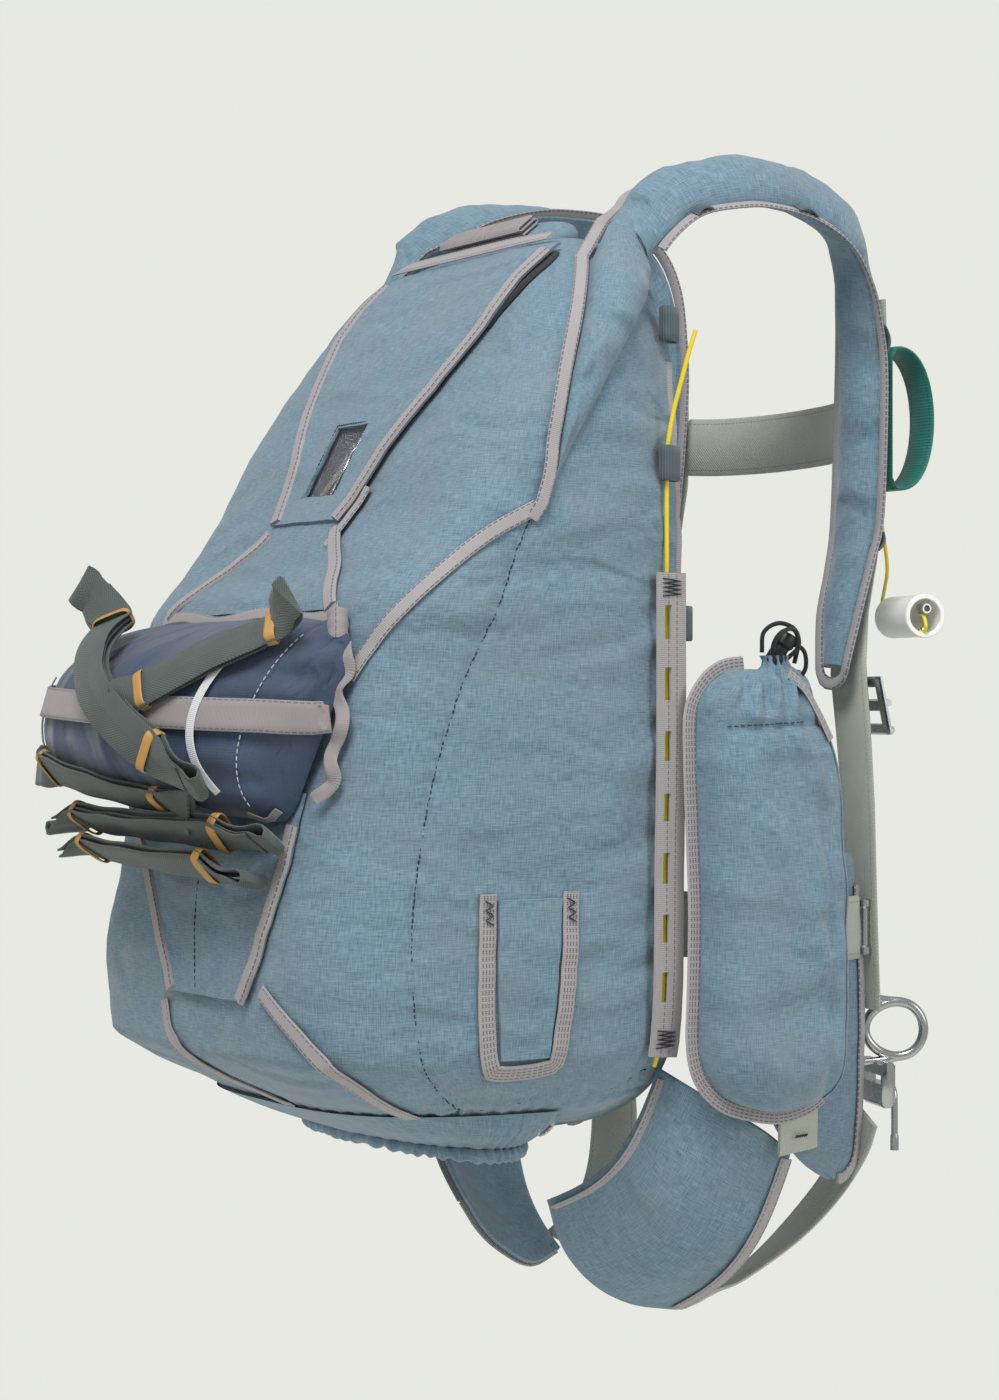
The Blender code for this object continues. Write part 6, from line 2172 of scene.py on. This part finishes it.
    def fold(self, name: str, start: Pair, end: Pair, lift: float, layers: int, bight: float,
             node: Optional[str]) -> None:
        """Fold one web back and forth.

        Args:
            name: The piece's name.
            start: Its left end as x and height.
            end: Its right end.
            lift: Its height over the bag.
            layers: How many layers lie on each other.
            bight: How far the folds reach past the ends.
            node: The node that it stands for, if any.
        """
        first, last = Vector((*start, 0)), Vector((*end, 0))
        steps = max(20, round((last - first).length / 5))
        seats = [self.seat(*first.lerp(last, s / steps)[:2]) for s in range(steps + 1)]
        directions = tangents_of([place for place, _ in seats])
        across = [direction.cross(out).normalized() for (_, out), direction in zip(seats, directions)]
        middle, sideways = [], []
        half = self.layer_pitch / 2 * (layers - 1)
        for layer in range(layers):
            order = list(range(steps + 1)) if layer % 2 == 0 else list(range(steps, -1, -1))
            for step in order:
                place, out = seats[step]
                wave = 0.5 * math.sin(step * 0.5 + layer)
                beyond = min(max((abs(step / steps - 0.5) - 0.5 + self.end_share) / self.end_share, 0), 1)
                angle = math.radians(self.end_turn) * beyond * beyond * (3 - 2 * beyond)
                turn = Matrix.Rotation(angle, 3, directions[step])
                flare = turn @ out
                middle.append(place + out * (lift + half + 5 * beyond)
                              + flare * (layer * self.layer_pitch - half + wave)
                              + across[step] * (1.2 * math.sin(layer * 2.2)))
                sideways.append(turn @ across[step])
            if layer < layers - 1:
                tip = middle[-1]
                way = (tip - middle[-2]).normalized()
                turn = Matrix.Rotation(math.radians(self.end_turn), 3, directions[order[-1]])
                out = turn @ seats[order[-1]][1]
                for reach, rise in ((0.4, -1.6), (0.85, -2.4), (1.1, 0.2), (1.1, 3.6), (0.85, 6.4),
                                    (0.4, 5.0)):
                    middle.append(tip + way * (bight * reach) + out * rise)
                    sideways.append(sideways[-1])
        centres = smooth_path(middle, 4)
        outs, lengths = [], [0.0]
        for before, after in zip(middle, middle[1:]):
            lengths.append(lengths[-1] + (after - before).length)
        index = 0
        for number, direction in enumerate(tangents_of(centres)):
            where = lengths[-1] * number / (len(centres) - 1)
            while index < len(lengths) - 2 and lengths[index + 1] < where:
                index += 1
            share = min(max((where - lengths[index]) / (lengths[index + 1] - lengths[index]), 0), 1)
            outs.append(direction.cross(sideways[index].lerp(sideways[index + 1], share)).normalized())
        inner = [point - out * (self.web_thick / 2) for point, out in zip(centres, outs)]
        piece = band(name, inner, outs, self.web_width, self.web_thick, BAG_WEB, camber=0.4)
        fit(piece, *([node] if node else []))
        for number, share in enumerate((0.14, 0.88), 1):
            place, out = seats[round(steps * share)]
            self.rubber_band(f"{name}_band_{number}", place + out * (lift + half), out,
                             directions[round(steps * share)], layers)

    def rubber_band(self, name: str, centre: Vector, out: Vector, along: Vector, layers: int) -> None:
        """Wrap a rubber band round the bundle.

        Args:
            name: The piece's name.
            centre: The middle of the bundle.
            out: The way that the bundle's face looks.
            along: The way that it runs.
            layers: How many layers it has.
        """
        side = along.cross(out).normalized()
        half, depth = self.web_width / 2 - 1.4, self.layer_pitch / 2 * layers + 1.2
        centres, outs, squareness = [], [], 0.45
        for step in range(40):
            angle = 2 * math.pi * step / 40
            u, v = (math.copysign(abs(way) ** squareness, way) * size
                    for way, size in ((math.cos(angle), half), (math.sin(angle), depth)))
            centres.append(centre + side * u + out * v)
            outs.append((side * u / half + out * v / depth).normalized())
        fit(band(name, centres, outs, 7, 1.2, TAN_RUBBER, closed=True))


@dataclass
class Studio:
    """The round pale floor, the soft lights and the camera at the photograph's viewing angle."""
    azimuth: float = 58.0
    distance: float = 2.1
    height: float = -0.314
    shift_right: float = -0.035
    focal: float = 77.14
    ground: float = -1.25
    floor_radius: float = 1.8
    floor_sides: int = 60
    key_watts: float = 72.0
    fill_watts: float = 17.0
    room_strength: float = 0.55

    def build(self) -> None:
        """Set the stage."""
        angle = math.radians(self.azimuth)
        right = Vector((math.cos(angle), math.sin(angle), 0))
        ahead = Vector((-math.sin(angle), math.cos(angle), 0))
        lens = bpy.data.cameras.new("camera")
        lens.sensor_fit = "VERTICAL"
        lens.sensor_height = 36.0
        lens.lens = self.focal
        camera = bpy.data.objects.new("camera", lens)
        camera.location = right * self.shift_right - ahead * self.distance + Vector((0, 0, self.height))
        camera.rotation_euler = (math.radians(90), 0, angle)
        bpy.context.scene.collection.objects.link(camera)
        bpy.context.scene.camera = camera
        self.lay_floor()
        middle = Vector((0, -0.05, -0.33))
        self.light("key", right * -0.5 - ahead * 1.9 + Vector((0, 0, 2.1)), middle, self.key_watts, 1.3)
        self.light("fill", right * 2.4 - ahead * 1.5 + Vector((0, 0, 0.5)), middle, self.fill_watts, 1.6)
        world = bpy.data.worlds.new("pale_room")
        world.use_nodes = True
        tree = world.node_tree
        room = tree.nodes["Background"]
        room.inputs["Color"].default_value = srgb("#F1F1EE")
        room.inputs["Strength"].default_value = self.room_strength
        seen = add_node(tree, "Background", {"Color": srgb("#E7E9E2"), "Strength": 1.0})
        path = add_node(tree, "LightPath")
        mix = add_node(tree, "MixShader", {0: path.outputs["Is Camera Ray"],
                                           1: room, 2: seen})
        tree.links.new(mix.outputs[0], tree.nodes["World Output"].inputs["Surface"])
        bpy.context.scene.world = world
        bpy.context.scene.view_settings.view_transform = "Standard"

    def lay_floor(self) -> None:
        """Lay a round pale floor, wide enough to stand on from any side."""
        angles = [2 * math.pi * n / self.floor_sides for n in range(self.floor_sides)]
        corners = [(self.floor_radius * math.cos(angle), self.floor_radius * math.sin(angle), self.ground)
                   for angle in angles]
        mesh = bpy.data.meshes.new("floor")
        mesh.from_pydata(corners, [], [tuple(range(self.floor_sides))])
        finish = Moulded("painted floor, pale", None, 0.9, colour="#EEF0E8", shade="#ECEDE6", relief=0.02)
        mesh.materials.append(finish.material())
        floor = bpy.data.objects.new("floor", mesh)
        bpy.context.scene.collection.objects.link(floor)

    @staticmethod
    def light(name: str, place: Vector, target: Vector, power: float, size: float) -> None:
        """Hang one soft light that looks at a target.

        Args:
            name: Its name.
            place: Where it hangs.
            target: Where it looks.
            power: Its power in watts.
            size: Its width in metres.
        """
        lamp = bpy.data.lights.new(name, "AREA")
        lamp.energy = power
        lamp.size = size
        holder = bpy.data.objects.new(name, lamp)
        holder.location = place
        holder.rotation_euler = (target - place).to_track_quat("-Z", "Y").to_euler()
        bpy.context.scene.collection.objects.link(holder)


def dress_leftovers() -> None:
    """Give every node that still shows its finish."""
    finishes = {finish.slot: finish for finish in (CANVAS, BINDING, HARNESS_WEB, BAG_WEB, BAG_NYLON,
                                                   KEEPER_WEB, GREEN_WEB, YELLOW_CABLE, PVC, BLACK_NYLON,
                                                   STEEL, FILM)}
    slots = {row["node"]: row["material_slot"] for row in FRAME["record"]["subparts"]}
    for name, node in FRAME["nodes"].items():
        if node.hide_render:
            continue
        recoat(node, finishes[Slot(slots[name])])
        LOG.info("%s keeps its solid", name)


def main() -> None:
    """Build every sub-assembly, then the stage."""
    logging.basicConfig(level=logging.INFO, format="%(message)s")
    Studio().build()
    form = ContainerForm()
    form.sew()
    assemblies = (ContainerShell(form), Collar(form), ShoulderStrap(form), LeftStrap(form), RearFlaps(form),
                  SidePanel(form), HipPocket(), Harness(), Hardware(), Handles(), StrappedBag(form))
    for assembly in assemblies:
        LOG.info("%s", type(assembly).__name__)
        assembly.build()
    dress_leftovers()


if __name__ == "__main__":
    main()
